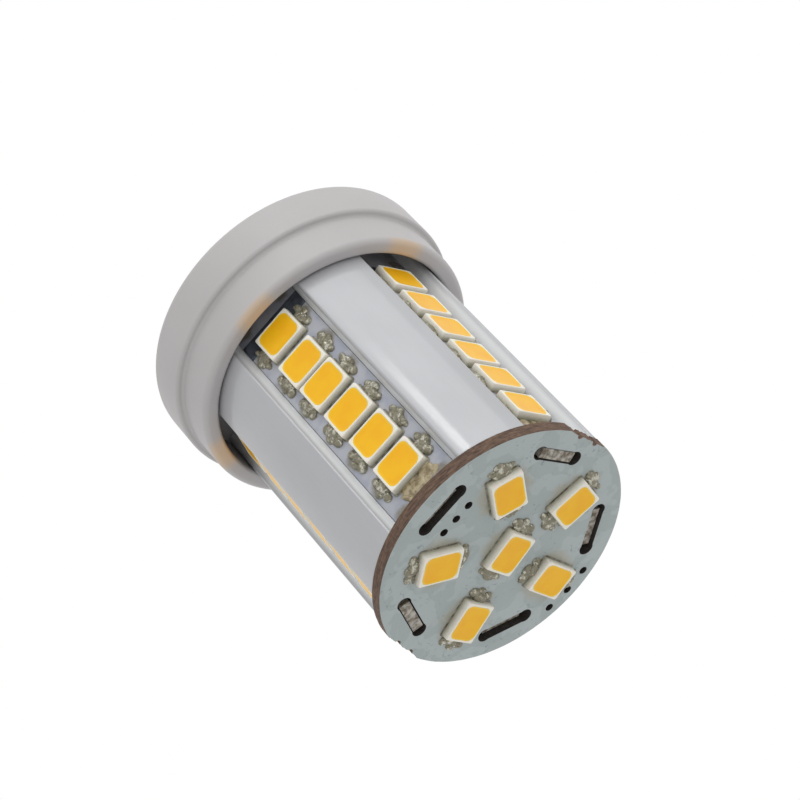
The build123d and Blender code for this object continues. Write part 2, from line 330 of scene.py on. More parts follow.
@dataclass(frozen=True)
class MouldedPlastic(Finish):
    """White moulded plastic, with a painted amber reflection of the diodes on its rim below each row."""

    front: float
    row_angles: tuple[float, ...]
    name: str = "moulded_plastic"
    colour: Colour = srgb(180, 177, 177)
    # tinge: a painted reflection of the amber diodes on the rim.
    painted_amber_reflection: Colour = srgb(214, 176, 122)
    reflection_spread: float = 11.0
    grain: float = 0.35 * MM

    def inputs(self, paint: Paint) -> dict[str | int, Feed]:
        """Lay the finish's nodes, and give what the surface shader takes."""
        place = paint.place()
        spot = paint.add("ShaderNodeSeparateXYZ", {"Vector": place}).outputs
        rim = paint.between(spot["Z"], self.front - 0.6 * MM, self.front - 0.1 * MM)
        flat = paint.add("ShaderNodeVectorMath", {0: paint.place((1, 1, 0))}, operation="NORMALIZE")
        near: Feed = 0.0
        for angle in self.row_angles:
            out = (math.cos(math.radians(angle)), math.sin(math.radians(angle)), 0)
            near = paint.sum("MAXIMUM", paint.measure("DOT_PRODUCT", flat.outputs["Vector"], out), near)
        below = paint.between(near, math.cos(math.radians(self.reflection_spread)), 1.0)
        patches = paint.cloud(place, 5.0 * MM, 2)
        darker = tuple(c * 0.96 for c in self.colour)
        mottled = paint.blend(paint.between(patches, 0.25, 0.8), self.colour, darker)
        # Painted reflection: the amber of the diodes laid on the rim below each row.
        reflection_share = paint.sum("MULTIPLY", paint.sum("MULTIPLY", rim, below), 0.5)
        grain = paint.cloud(place, self.grain, 3)
        return {"Base Color": paint.blend(reflection_share, mottled, self.painted_amber_reflection),
                "Roughness": paint.line(grain, 0.15, 0.42),
                "Normal": paint.relief(grain, 0.008 * MM, 0.35), "IOR": 1.5}


@dataclass(frozen=True)
class RowBoardMask(Finish):
    """White solder mask on a row board, with tracks under it and flux round its joints."""

    first_diode: float
    pitch: float
    joint_reach: float
    name: str = "pale_row_mask"
    colour: Colour = srgb(174, 176, 184)
    track: Colour = srgb(160, 164, 176)
    flux: Colour = srgb(122, 116, 98)

    def inputs(self, paint: Paint) -> dict[str | int, Feed]:
        """Lay the finish's nodes, and give what the surface shader takes."""
        parts = paint.add("ShaderNodeSeparateXYZ", {"Vector": paint.chart("row")})
        across, along = parts.outputs["X"], parts.outputs["Y"]
        place = paint.place()
        step = paint.sum("DIVIDE", paint.sum("SUBTRACT", along, self.first_diode), self.pitch)
        off_joint = paint.sum("MULTIPLY", paint.sum("PINGPONG", step, 0.5), self.pitch)
        off_side = paint.sum("SUBTRACT", paint.sum("ABSOLUTE", across), self.joint_reach)
        distance = paint.sum("SQRT", paint.sum("ADD", paint.sum("POWER", off_joint, 2.0),
                                               paint.sum("POWER", off_side, 2.0)))
        wobble = paint.cloud(place, 0.7 * MM, 5)
        flux = paint.between(paint.line(wobble, 1.0 * MM, distance), 1.6 * MM, 1.05 * MM)
        patches = paint.cloud(place, 1.8 * MM, 2)
        base = paint.blend(paint.between(patches, 0.42, 0.58), self.colour, self.track)
        colour = paint.blend(paint.sum("MULTIPLY", flux, 0.8), base, self.flux)
        tracks = paint.relief(paint.between(patches, 0.46, 0.54), 0.02 * MM, 0.6)
        return {"Base Color": colour, "Roughness": paint.line(flux, -0.25, 0.5),
                "Normal": paint.relief(wobble, 0.02 * MM, 0.4, tracks)}


@dataclass(frozen=True)
class EndBoardMask(Finish):
    """Pale blue-grey solder mask on the end board, with tan flux round its diodes."""

    diodes: tuple[tuple[float, float], ...]
    name: str = "blue_grey_mask"
    colour: Colour = srgb(156, 166, 165)
    track: Colour = srgb(164, 173, 173)
    flux: Colour = srgb(158, 150, 128)
    scratch: Colour = srgb(112, 120, 128)
    dust: Colour = srgb(150, 150, 140)

    def inputs(self, paint: Paint) -> dict[str | int, Feed]:
        """Lay the finish's nodes, and give what the surface shader takes."""
        place = paint.place((1, 1, 0))
        nearest: Feed = 1.0
        for x, y in self.diodes:
            nearest = paint.sum("MINIMUM", paint.measure("DISTANCE", place, (x, y, 0)), nearest)
        wobble = paint.cloud(place, 1.1 * MM, 5)
        halo = paint.between(paint.line(wobble, 1.6 * MM, nearest), 3.4 * MM, 2.5 * MM)
        patches = paint.cloud(place, 2.6 * MM, 2)
        pour = paint.between(patches, 0.49, 0.52)
        base = paint.blend(pour, self.colour, self.track)
        fine = paint.cloud(place, 0.35 * MM, 4)
        dust = paint.sum("MULTIPLY", paint.between(fine, 0.55, 0.8), 0.35)
        dusty = paint.blend(dust, base, self.dust)
        veins = paint.sum("ABSOLUTE", paint.sum("SUBTRACT", paint.cloud(place, 3.4 * MM, 3), 0.5))
        hairs = paint.sum("MULTIPLY", paint.between(veins, 0.007, 0.002), paint.between(fine, 0.45, 0.6))
        scratched = paint.blend(paint.sum("MULTIPLY", hairs, 0.6), dusty, self.scratch)
        colour = paint.blend(paint.sum("MULTIPLY", halo, 0.6), scratched, self.flux)
        tracks = paint.relief(pour, 0.02 * MM, 0.6)
        return {"Base Color": colour, "Roughness": paint.line(halo, -0.18, 0.48),
                "Normal": paint.relief(fine, 0.012 * MM, 0.5, tracks)}


@dataclass(frozen=True)
class Laminate(Finish):
    """Sawn edge of brown laminate, with its layers and torn fibres."""

    name: str = "brown_laminate"
    colour: Colour = srgb(112, 88, 72)
    dark: Colour = srgb(72, 54, 43)
    layer: float = 0.12 * MM

    def inputs(self, paint: Paint) -> dict[str | int, Feed]:
        """Lay the finish's nodes, and give what the surface shader takes."""
        layers = paint.cloud(paint.place((0.12, 0.12, 1)), self.layer, 4)
        fibres = paint.cloud(paint.place(), 0.25 * MM, 5)
        mixed = paint.sum("MULTIPLY", layers, paint.sum("ADD", fibres, 0.5))
        colour = paint.blend(paint.between(mixed, 0.3, 0.7), self.dark, self.colour)
        return {"Base Color": colour, "Roughness": 0.82, "Normal": paint.relief(mixed, 0.06 * MM, 0.9)}


@dataclass(frozen=True)
class DiodePlastic(Finish):
    """White reflector plastic, with painted shade that makes its walls greyer low down, towards the board."""

    name: str = "diode_plastic"
    colour: Colour = srgb(232, 228, 216)
    # low: painted shade at the foot of the walls.
    low: Colour = srgb(172, 168, 148)

    def inputs(self, paint: Paint) -> dict[str | int, Feed]:
        """Lay the finish's nodes, and give what the surface shader takes."""
        place = paint.place()
        grain = paint.cloud(place, 0.3 * MM, 4)
        rise = paint.line(grain, 0.25, paint.own("rise"))
        # Painted shade: the walls turn greyer low down, towards the board.
        return {"Base Color": paint.blend(paint.between(rise, 0.1, 0.95), self.low, self.colour),
                "Roughness": paint.line(grain, 0.2, 0.35), "Normal": paint.relief(grain, 0.01 * MM, 0.5),
                "Subsurface Weight": 0.15, "Subsurface Scale": 0.3 * MM}


@dataclass(frozen=True)
class PhosphorFill(Finish):
    """Amber silicone in a diode's window, yellower at its rim."""

    name: str = "phosphor_fill"
    colour: Colour = srgb(241, 183, 16)
    warm: Colour = srgb(239, 174, 14)
    speck: Colour = srgb(252, 205, 60)
    rim: Colour = srgb(240, 200, 60)

    def inputs(self, paint: Paint) -> dict[str | int, Feed]:
        """Lay the finish's nodes, and give what the surface shader takes."""
        place = paint.place()
        grain = paint.cloud(place, 0.12 * MM, 3)
        patches = paint.cloud(place, 1.6 * MM, 2)
        warm = paint.blend(paint.between(patches, 0.3, 0.7), self.colour, self.warm)
        speckled = paint.blend(paint.sum("MULTIPLY", grain, 0.12), warm, self.speck)
        colour = paint.blend(paint.between(paint.own("rise"), 0.55, 1.0), speckled, self.rim)
        return {"Base Color": colour, "Roughness": 0.3, "IOR": 1.35,
                "Normal": paint.relief(grain, 0.003 * MM, 0.4)}


@dataclass(frozen=True)
class SolderFinish(Finish):
    """Hand-touched solder, bright on its lumps and dull with flux in its hollows."""

    name: str = "touched_solder"
    colour: Colour = srgb(186, 184, 170)
    flux: Colour = srgb(129, 124, 105)
    burnt: Colour = srgb(82, 76, 62)

    def inputs(self, paint: Paint) -> dict[str | int, Feed]:
        """Lay the finish's nodes, and give what the surface shader takes."""
        place = paint.place()
        patches = paint.cloud(place, 0.4 * MM, 5)
        fine = paint.cloud(place, 0.14 * MM, 4)
        film = paint.between(patches, 0.38, 0.52)
        filmed = paint.blend(film, self.colour, self.flux)
        colour = paint.blend(paint.between(fine, 0.55, 0.7), filmed, self.burnt)
        return {"Base Color": colour, "Metallic": paint.line(film, -0.6, 0.8),
                "Roughness": paint.line(film, 0.25, 0.2), "Normal": paint.relief(fine, 0.04 * MM, 0.7)}


@dataclass(frozen=True)
class FluxResidue(Finish):
    """Dried flux and glue, tan to olive and a little glossy."""

    name: str = "flux_residue"
    colour: Colour = srgb(176, 162, 130)
    dark: Colour = srgb(128, 112, 80)

    def inputs(self, paint: Paint) -> dict[str | int, Feed]:
        """Lay the finish's nodes, and give what the surface shader takes."""
        patches = paint.cloud(paint.place(), 0.45 * MM, 5)
        colour = paint.blend(paint.between(patches, 0.38, 0.62), self.dark, self.colour)
        return {"Base Color": colour, "Roughness": paint.line(patches, 0.5, 0.05), "Coat Weight": 0.25,
                "Normal": paint.relief(patches, 0.08 * MM, 0.6)}


@dataclass(frozen=True)
class PlainFinish(Finish):
    """A finish told by its colours, its grain and its gloss, for the parts inside and the wires."""

    name: str
    colour: Colour
    second: Colour
    grain: float
    rough: float
    metallic: float = 0.0
    depth: float = 0.01 * MM
    stretch: tuple[float, float, float] = (1.0, 1.0, 1.0)

    def inputs(self, paint: Paint) -> dict[str | int, Feed]:
        """Lay the finish's nodes, and give what the surface shader takes."""
        patches = paint.cloud(paint.place(self.stretch), self.grain, 4)
        colour = paint.blend(paint.between(patches, 0.35, 0.65), self.colour, self.second)
        return {"Base Color": colour, "Metallic": self.metallic,
                "Roughness": paint.line(patches, 0.2, self.rough - 0.1),
                "Normal": paint.relief(patches, self.depth, 0.5)}


class Hidden(Enum):
    """Finishes of the CAD nodes that keep their solids, with the nodes that wear each."""

    LAMINATE = (PlainFinish("green_laminate", srgb(38, 92, 62), srgb(48, 108, 74), 1.2 * MM, 0.4),
                ("driver_board",))
    EPOXY = (PlainFinish("black_epoxy", srgb(34, 34, 36), srgb(48, 48, 50), 0.15 * MM, 0.6),
             ("bridge_rectifier", "driver_chip"))
    FILM = (PlainFinish("film_casing", srgb(206, 164, 42), srgb(196, 152, 34), 0.8 * MM, 0.45),
            ("film_capacitor",))
    FERRITE = (PlainFinish("ferrite_shield", srgb(58, 58, 62), srgb(78, 78, 82), 0.2 * MM, 0.7), ("choke",))
    CAN = (PlainFinish("rolled_can", srgb(196, 198, 202), srgb(178, 180, 186), 0.4 * MM, 0.35, 0.9),
           ("smoothing_capacitor",))
    CERAMIC = (PlainFinish("resistor_ceramic", srgb(196, 206, 204), srgb(182, 194, 190), 0.3 * MM, 0.55),
               ("fuse_resistor",))
    BLACK_LEAD = (PlainFinish("black_sleeve", srgb(30, 30, 32), srgb(40, 40, 42), 0.5 * MM, 0.5),
                  ("mains_lead_1", "supply_lead_1"))
    RED_LEAD = (PlainFinish("red_sleeve", srgb(168, 30, 26), srgb(150, 24, 22), 0.5 * MM, 0.5),
                ("mains_lead_2", "supply_lead_2"))

    @property
    def finish(self) -> PlainFinish:
        """The finish itself."""
        return self.value[0]

    @property
    def nodes(self) -> tuple[str, ...]:
        """The CAD nodes that wear it."""
        return self.value[1]


def placed(name: str, data: bpy.types.ID, place: Matrix | None = None) -> bpy.types.Object:
    """Make an object and link it to the scene.

    Args:
        name: the object's name.
        data: its mesh, curve, camera or light.
        place: where it stands, if not at the origin.

    Returns:
        The new object.
    """
    made = bpy.data.objects.new(name, data)
    if place is not None:
        made.matrix_world = place
    bpy.context.scene.collection.objects.link(made)
    return made


def mesh_object(name: str, points: Sequence[Sequence[float]],
                faces: Sequence[Sequence[int]]) -> bpy.types.Object:
    """Make an object from points and faces, with its doubles merged and its normals outwards.

    Args:
        name: the object's name.
        points: its vertices.
        faces: its faces as numbers of vertices.

    Returns:
        The new object, linked to the scene.
    """
    mesh = bpy.data.meshes.new(name)
    mesh.from_pydata([tuple(p) for p in points], [], [tuple(f) for f in faces])
    tidy_normals(mesh)
    return placed(name, mesh)


def tidy_normals(mesh: bpy.types.Mesh) -> None:
    """Merge doubles and turn every face outwards."""
    work = bmesh.new()
    work.from_mesh(mesh)
    bmesh.ops.remove_doubles(work, verts=work.verts, dist=DOUBLES)
    bmesh.ops.recalc_face_normals(work, faces=work.faces)
    work.to_mesh(mesh)
    work.free()


def soften(piece: bpy.types.Object, angle: float = 35.0) -> None:
    """Shade a piece smooth, but for its marked flats and the edges that turn by more than an angle.

    Args:
        piece: the piece.
        angle: the angle in degrees.
    """
    smooth = [True] * len(piece.data.polygons)
    marks = piece.data.attributes.get("flat")
    if marks:
        smooth = [not mark.value for mark in marks.data]
    piece.data.polygons.foreach_set("use_smooth", smooth)
    piece.data.set_sharp_from_angle(angle=math.radians(angle))


def part_faces(piece: bpy.types.Object, *finishes: Finish) -> None:
    """Give a plate its finishes: the first on its two flats and the second on its edges.

    Args:
        piece: the plate, still lying flat.
        finishes: the finishes, of which any after the second are worn by faces that are picked later.
    """
    for finish in finishes:
        piece.data.materials.append(finish.material())
    for face in piece.data.polygons:
        face.material_index = 0 if abs(face.normal.z) > FACING else 1


def dress(piece: bpy.types.Object, finish: Finish, slot: str, *nodes: str) -> bpy.types.Object:
    """Give a finished piece its material and its place in the frame.

    Args:
        piece: the piece, with its place in its mesh.
        finish: what it wears.
        slot: the record's material slot; not used.
        nodes: the CAD nodes that it stands for.

    Returns:
        The same piece.
    """
    if not piece.data.materials:
        piece.data.materials.append(finish.material())
    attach(piece, BODY)
    if nodes:
        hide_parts(*nodes)
    log.info("%s: %d faces", piece.name, len(piece.data.polygons))
    return piece


def arc(centre: tuple[float, float], radius: float, start: float, end: float, steps: int) -> list[Vector]:
    """Points on an arc in the plane.

    Args:
        centre: its centre.
        radius: its radius.
        start: the angle of its first point in degrees.
        end: the angle of its last point in degrees.
        steps: how many stretches it is divided into.

    Returns:
        The points from start to end.
    """
    turns = (math.radians(start + (end - start) * step / steps) for step in range(steps + 1))
    return [Vector((centre[0] + radius * math.cos(t), centre[1] + radius * math.sin(t))) for t in turns]


def circle(centre: tuple[float, float], radius: float, steps: int) -> list[Vector]:
    """Points round a circle, anticlockwise.

    Args:
        centre: its centre.
        radius: its radius.
        steps: how many points.

    Returns:
        The points, from the one along x.
    """
    return arc(centre, radius, 0, 360, steps)[:-1]


def heading(azimuth: float, elevation: float = 0.0) -> Vector:
    """The unit vector that points somewhere.

    Args:
        azimuth: its direction round the axis in degrees.
        elevation: its direction above the horizontal in degrees.

    Returns:
        The vector.
    """
    turn, rise = math.radians(azimuth), math.radians(elevation)
    return Vector((math.cos(rise) * math.cos(turn), math.cos(rise) * math.sin(turn), math.sin(rise)))


def spin(angle: float) -> Matrix:
    """The turn of the plane by an angle in degrees."""
    return Matrix.Rotation(math.radians(angle), 2)


def rounded_rectangle(half_x: float, half_y: float, corner: float, steps: int = 4) -> list[Vector]:
    """The outline of a rectangle with rounded corners, round its centre.

    Args:
        half_x: half its length.
        half_y: half its width.
        corner: the radius of its corners.
        steps: stretches in each corner.

    Returns:
        The points, anticlockwise.
    """
    x, y = half_x - corner, half_y - corner
    centres = ((x, y, 0), (-x, y, 90), (-x, -y, 180), (x, -y, 270))
    return [p for cx, cy, turn in centres for p in arc((cx, cy), corner, turn, turn + 90, steps)]


def inset(loop: Sequence[Vector], distance: float) -> list[Vector]:
    """Move a closed outline to its left by a distance, which is inwards if it is anticlockwise."""
    moved = []
    for index, point in enumerate(loop):
        before = (point - loop[index - 1]).normalized()
        after = (loop[(index + 1) % len(loop)] - point).normalized()
        side = Vector((-before.y - after.y, before.x + after.x)).normalized()
        spread = max(SHARPEST_SPREAD, side.dot(Vector((-after.y, after.x))))
        moved.append(point + side * (distance / spread))
    return moved


def plate(name: str, outline: Sequence[Vector], holes: Sequence[Sequence[Vector]], low: float, high: float,
          ease: float, ease_steps: int = 2) -> bpy.types.Object:
    """Cut a flat plate from an outline with holes, and ease its edges.

    A ring of points just beyond each eased edge keeps the long walls between them straight in their shading.

    Args:
        name: the object's name.
        outline: its outer edge, anticlockwise.
        holes: its holes, anticlockwise.
        low: the height of its lower face.
        high: the height of its upper face.
        ease: the radius of its edges.
        ease_steps: stretches in each edge.

    Returns:
        The new object.
    """
    loops = [list(outline)] + [list(reversed(hole)) for hole in holes]
    turns = [math.radians(90 * step / ease_steps) for step in range(ease_steps + 1)]
    levels = [(ease * (1 - math.sin(t)), low + ease * (1 - math.cos(t))) for t in turns]
    levels.append((0.0, low + ease * WALL_SUPPORT))
    levels += [(step_in, low + high - z) for step_in, z in reversed(levels)]
    points, faces, rings = [], [], []
    for loop in loops:
        for step_in, z in levels:
            rings.append(range(len(points), len(points) + len(loop)))
            points += [(p.x, p.y, z) for p in inset(loop, step_in)]
    for index in range(len(loops)):
        stack = rings[index * len(levels):(index + 1) * len(levels)]
        for lower, upper in zip(stack, stack[1:]):
            for here in range(len(lower)):
                there = (here + 1) % len(lower)
                faces.append((lower[here], lower[there], upper[there], upper[here]))
    for level in (0, -1):
        chosen = [rings[index * len(levels) + level % len(levels)] for index in range(len(loops))]
        numbers = [number for ring in chosen for number in ring]
        flat = [[Vector((*points[number][:2], 0)) for number in ring] for ring in chosen]
        faces += [tuple(numbers[corner] for corner in triangle) for triangle in tessellate_polygon(flat)]
    piece = mesh_object(name, points, faces)
    flats = [abs(face.normal.z) > LEVEL for face in piece.data.polygons]
    piece.data.attributes.new("flat", "BOOLEAN", "FACE").data.foreach_set("value", flats)
    return piece


def ring_stack(name: str, rings: Sequence[tuple[float, float, float, float, float]]) -> bpy.types.Object:
    """Skin a stack of rounded rectangles, closed at both ends.

    Args:
        name: the object's name.
        rings: half length, half width, corner radius, height and rise of each ring from first to last. The
            rise is kept as the mesh's own value for its finish.

    Returns:
        The new object.
    """
    points, faces, rises = [], [], []
    for half_x, half_y, corner, z, rise in rings:
        loop = rounded_rectangle(half_x, half_y, corner)
        points += [(p.x, p.y, z) for p in loop]
        rises += [rise] * len(loop)
    count = len(points) // len(rings)
    for ring in range(len(rings) - 1):
        for here in range(count):
            there = (here + 1) % count
            low, high = ring * count, (ring + 1) * count
            faces.append((low + here, low + there, high + there, high + here))
    faces += [tuple(reversed(range(count))), tuple(range(len(points) - count, len(points)))]
    made = bpy.data.meshes.new(name)
    made.from_pydata(points, [], faces)
    made.attributes.new("rise", "FLOAT", "POINT").data.foreach_set("value", rises)
    piece = bpy.data.objects.new(name, made)
    tidy_normals(made)
    return piece


class Pattern(Wiring):
    """A Geometry Nodes tree with named inputs, which turns a carrier into a plain mesh."""

    def __init__(self, name: str, inputs: dict[str, str]) -> None:
        """Start a tree with its carrier as the first input.

        Args:
            name: the tree's name.
            inputs: the socket type of each named input.
        """
        super().__init__(bpy.data.node_groups.new(name, "GeometryNodeTree"))
        face = self.tree.interface
        face.new_socket("Carrier", in_out="INPUT", socket_type="NodeSocketGeometry")
        self.keys = {
            label: face.new_socket(label, in_out="INPUT", socket_type=kind).identifier
            for label, kind in inputs.items()
        }
        face.new_socket("Piece", in_out="OUTPUT", socket_type="NodeSocketGeometry")
        self.given = self.tree.nodes.new("NodeGroupInput").outputs

    def close(self, shape: bpy.types.NodeSocket, smooth: bool = True) -> None:
        """End the tree: make its copies real, shade them and give them their material.

        Args:
            shape: the geometry to end with.
            smooth: whether its faces are shaded smooth.
        """
        real = self.add("GeometryNodeRealizeInstances", {"Geometry": shape}).outputs[0]
        if smooth:
            real = self.add("GeometryNodeSetShadeSmooth", {"Geometry": real}).outputs[0]
        worn = self.add("GeometryNodeSetMaterial", {"Geometry": real, "Material": self.given["Finish"]})
        self.add("NodeGroupOutput", {0: worn.outputs[0]})

    def chance(self, low: Feed, high: Feed, seed: Feed, kind: str = "FLOAT") -> bpy.types.NodeSocket:
        """A random value for each point, from a fixed seed.

        Args:
            low: the least value.
            high: the greatest value.
            seed: the seed.
            kind: FLOAT or FLOAT_VECTOR.

        Returns:
            The value socket.
        """
        node = self.add("FunctionNodeRandomValue", data_type=kind)
        spots = [s for s in node.inputs if s.enabled and s.name in ("Min", "Max")]
        self.feed(spots[0], low)
        self.feed(spots[1], high)
        self.feed(node.inputs["Seed"], seed)
        return next(s for s in node.outputs if s.enabled)

    def vector(self, **parts: Feed) -> bpy.types.NodeSocket:
        """The vector made of the values for X, Y and Z, where 0 stands for one that isn't given."""
        return self.add("ShaderNodeCombineXYZ", parts).outputs[0]

    def carried(self, name: str) -> bpy.types.NodeSocket:
        """A value that the carrier's points hold."""
        node = self.add("GeometryNodeInputNamedAttribute", {"Name": name}, data_type="FLOAT")
        return next(s for s in node.outputs if s.enabled and s.name == "Attribute")

    def run(self, name: str, carrier: bpy.types.ID, values: dict[str, Feed],
            place: Matrix | None = None) -> bpy.types.Object:
        """Run the tree on a carrier and keep the result as a plain mesh.

        Args:
            name: the new piece's name.
            carrier: the mesh or curve that the tree reads.
            values: what each named input takes.
            place: where the result goes in the frame.

        Returns:
            The new piece, linked to the scene.
        """
        holder = placed(f"{name}_carrier", carrier)
        modifier = holder.modifiers.new("pattern", "NODES")
        modifier.node_group = self.tree
        for label, value in values.items():
            modifier[self.keys[label]] = value
        solid = holder.evaluated_get(bpy.context.evaluated_depsgraph_get())
        mesh = bpy.data.meshes.new_from_object(solid)
        holder.modifiers.remove(modifier)
        bpy.data.objects.remove(holder)
        mesh.name = name
        if place is not None:
            mesh.transform(place)
        return placed(name, mesh)


def points_mesh(name: str, places: Sequence[tuple[float, float, float]]) -> bpy.types.Mesh:
    """Loose points that carry a turn.

    Args:
        name: the mesh's name.
        places: x, y and turn in radians of each point.

    Returns:
        The mesh.
    """
    mesh = bpy.data.meshes.new(name)
    mesh.from_pydata([(x, y, 0.0) for x, y, _ in places], [], [])
    mesh.attributes.new("turn", "FLOAT", "POINT").data.foreach_set("value", [turn for _, _, turn in places])
    return mesh


def stamping() -> Pattern:
    """Build the tree that sets copies of one shape on places, each a little askew."""
    tree = Pattern("copies_on_places", {
        "Shape": "NodeSocketObject", "Askew": "NodeSocketFloat", "Seed": "NodeSocketInt",
        "Finish": "NodeSocketMaterial",
    })
    shape = tree.add("GeometryNodeObjectInfo", {"Object": tree.given["Shape"]}).outputs["Geometry"]
    askew = tree.given["Askew"]
    drift = tree.chance(tree.sum("MULTIPLY", askew, -1.0), askew, tree.given["Seed"])
    turn = tree.sum("ADD", tree.carried("turn"), drift)
    rotation = tree.vector(Z=turn)
    copies = tree.add("GeometryNodeInstanceOnPoints",
                      {"Points": tree.given["Carrier"], "Instance": shape, "Rotation": rotation}).outputs[0]
    tree.close(copies)
    return tree


def lumping() -> Pattern:
    """Build the tree that sets a lump of solder or glue on each place, all different."""
    tree = Pattern("lumps_on_places", {
        "Length": "NodeSocketFloat", "Width": "NodeSocketFloat", "Height": "NodeSocketFloat",
        "Spread": "NodeSocketFloat", "Lumpiness": "NodeSocketFloat", "Lump": "NodeSocketFloat",
        "Sink": "NodeSocketFloat", "Detail": "NodeSocketInt", "Seed": "NodeSocketInt",
        "Finish": "NodeSocketMaterial",
    })
    given = tree.given
    ball = tree.add("GeometryNodeMeshIcoSphere", {"Radius": 1.0, "Subdivisions": given["Detail"]})
    size = tree.vector(X=given["Length"], Y=given["Width"], Z=given["Height"])
    least = tree.sum("SUBTRACT", 1.0, given["Spread"])
    most = tree.sum("ADD", 1.0, given["Spread"])
    low, high = (tree.vector(X=end, Y=end, Z=end) for end in (least, most))
    vary = tree.chance(low, high, given["Seed"], "FLOAT_VECTOR")
    scale = tree.add("ShaderNodeVectorMath", {0: size, 1: vary}, operation="MULTIPLY").outputs[0]
    rotation = tree.vector(Z=tree.carried("turn"))
    copies = tree.add("GeometryNodeInstanceOnPoints", {
        "Points": given["Carrier"], "Instance": ball.outputs["Mesh"], "Rotation": rotation, "Scale": scale,
    }).outputs[0]
    real = tree.add("GeometryNodeRealizeInstances", {"Geometry": copies}).outputs[0]
    grain = tree.sum("DIVIDE", 1.0, given["Lump"])
    cloud = tree.add("ShaderNodeTexNoise", {
        "Vector": tree.add("GeometryNodeInputPosition").outputs[0], "W": given["Seed"], "Scale": grain,
        "Detail": 3.0,
    }, noise_dimensions="4D").outputs["Fac"]
    push = tree.sum("MULTIPLY", tree.sum("SUBTRACT", cloud, 0.5), given["Lumpiness"])
    normal = tree.add("GeometryNodeInputNormal").outputs[0]
    offset = tree.add("ShaderNodeVectorMath", {0: normal, "Scale": push}, operation="SCALE").outputs[0]
    bumpy = tree.add("GeometryNodeSetPosition", {"Geometry": real, "Offset": offset}).outputs[0]
    spot = tree.add("ShaderNodeSeparateXYZ", {0: tree.add("GeometryNodeInputPosition").outputs[0]}).outputs
    floor = tree.sum("MAXIMUM", spot["Z"], tree.sum("MULTIPLY", given["Sink"], -1.0))
    rest = tree.vector(X=spot["X"], Y=spot["Y"], Z=floor)
    tree.close(tree.add("GeometryNodeSetPosition", {"Geometry": bumpy, "Position": rest}).outputs[0])
    return tree


@dataclass(frozen=True)
class Heap:
    """How large and how lumpy the heaps of one kind are."""

    length: float
    width: float
    height: float
    spread: float
    lumpiness: float
    lump: float
    detail: int
    sink: float = 0.02 * MM

    def lay(self, lumps: Pattern, name: str, places: Sequence[tuple[float, float, float]], seed: int,
            finish: Finish, surface: Matrix) -> bpy.types.Object:
        """Set a heap on each place.

        Args:
            lumps: the tree that sets lumps on places.
            name: the piece's name.
            places: x, y and turn of each place.
            seed: the seed of their shapes.
            finish: what they wear.
            surface: the plane that they lie on.

        Returns:
            The heaps as one piece.
        """
        return lumps.run(name, points_mesh(f"{name}_places", places), {
            "Length": self.length, "Width": self.width, "Height": self.height, "Spread": self.spread,
            "Lumpiness": self.lumpiness, "Lump": self.lump, "Sink": self.sink, "Detail": self.detail,
            "Seed": seed, "Finish": finish.material(),
        }, surface)


def wiring_up() -> Pattern:
    """Build the tree that turns a path into a round wire."""
    tree = Pattern("wire_on_path", {
        "Wire radius": "NodeSocketFloat", "Sides": "NodeSocketInt", "Finish": "NodeSocketMaterial",
    })
    given = tree.given
    section = tree.add("GeometryNodeCurvePrimitiveCircle",
                       {"Resolution": given["Sides"], "Radius": given["Wire radius"]}).outputs["Curve"]
    wire = tree.add("GeometryNodeCurveToMesh",
                    {"Curve": given["Carrier"], "Profile Curve": section, "Fill Caps": True})
    tree.close(wire.outputs[0])
    return tree


@dataclass
class HeatSinkCore:
    """The extruded core, with five lands and five flat-bottomed channels."""

    row_angles: Sequence[float]
    channel_width: float = 6.1 * MM
    channel_floor: float = 7.88 * MM
    channel_face: float = 8.78 * MM
    flare: float = 30.0
    bore_radius: float = 6.73 * MM
    land_edge: float = 0.2 * MM
    ease: float = 0.06 * MM
    land_steps: int = 24
    bore_steps: int = 96
    finish: Finish = field(default_factory=SatinAluminium)

    def outline(self, radius: float) -> list[Vector]:
        """Trace the core's section.

        Args:
            radius: the radius of its lands.

        Returns:
            The points, anticlockwise.
        """
        half, edge = self.channel_width / 2, self.land_edge
        lean = heading(self.flare).xy
        start = Vector((self.channel_face, half)) + Vector((-lean.y, lean.x)) * edge
        reach = start.dot(lean)
        centre = start + lean * (math.sqrt(reach ** 2 - start.length_squared + (radius - edge) ** 2) - reach)
        meet = math.degrees(math.atan2(centre.y, centre.x))
        step = 360 / len(self.row_angles)
        wall = [Vector((self.channel_floor, half)), Vector((self.channel_face, half))]
        wall += arc(centre, edge, 270 + self.flare, 360 + meet, 6)
        land = arc((0, 0), radius, meet, step - meet, self.land_steps)[1:-1]
        next_wall = [spin(step) @ Vector((p.x, -p.y)) for p in reversed(wall)]
        return [spin(angle) @ p for angle in sorted(self.row_angles)
                for p in wall + land + next_wall]

    def build(self) -> bpy.types.Object:
        """Build the core between the ends of its CAD node."""
        low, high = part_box("heat_sink_core")
        radius = max(high.x, high.y, -low.x, -low.y)
        bore = circle((0, 0), self.bore_radius, self.bore_steps)
        piece = plate("core_extrusion", self.outline(radius), [bore], low.z, high.z, self.ease)
        soften(piece, 30)
        return dress(piece, self.finish, "core_aluminium", "heat_sink_core")


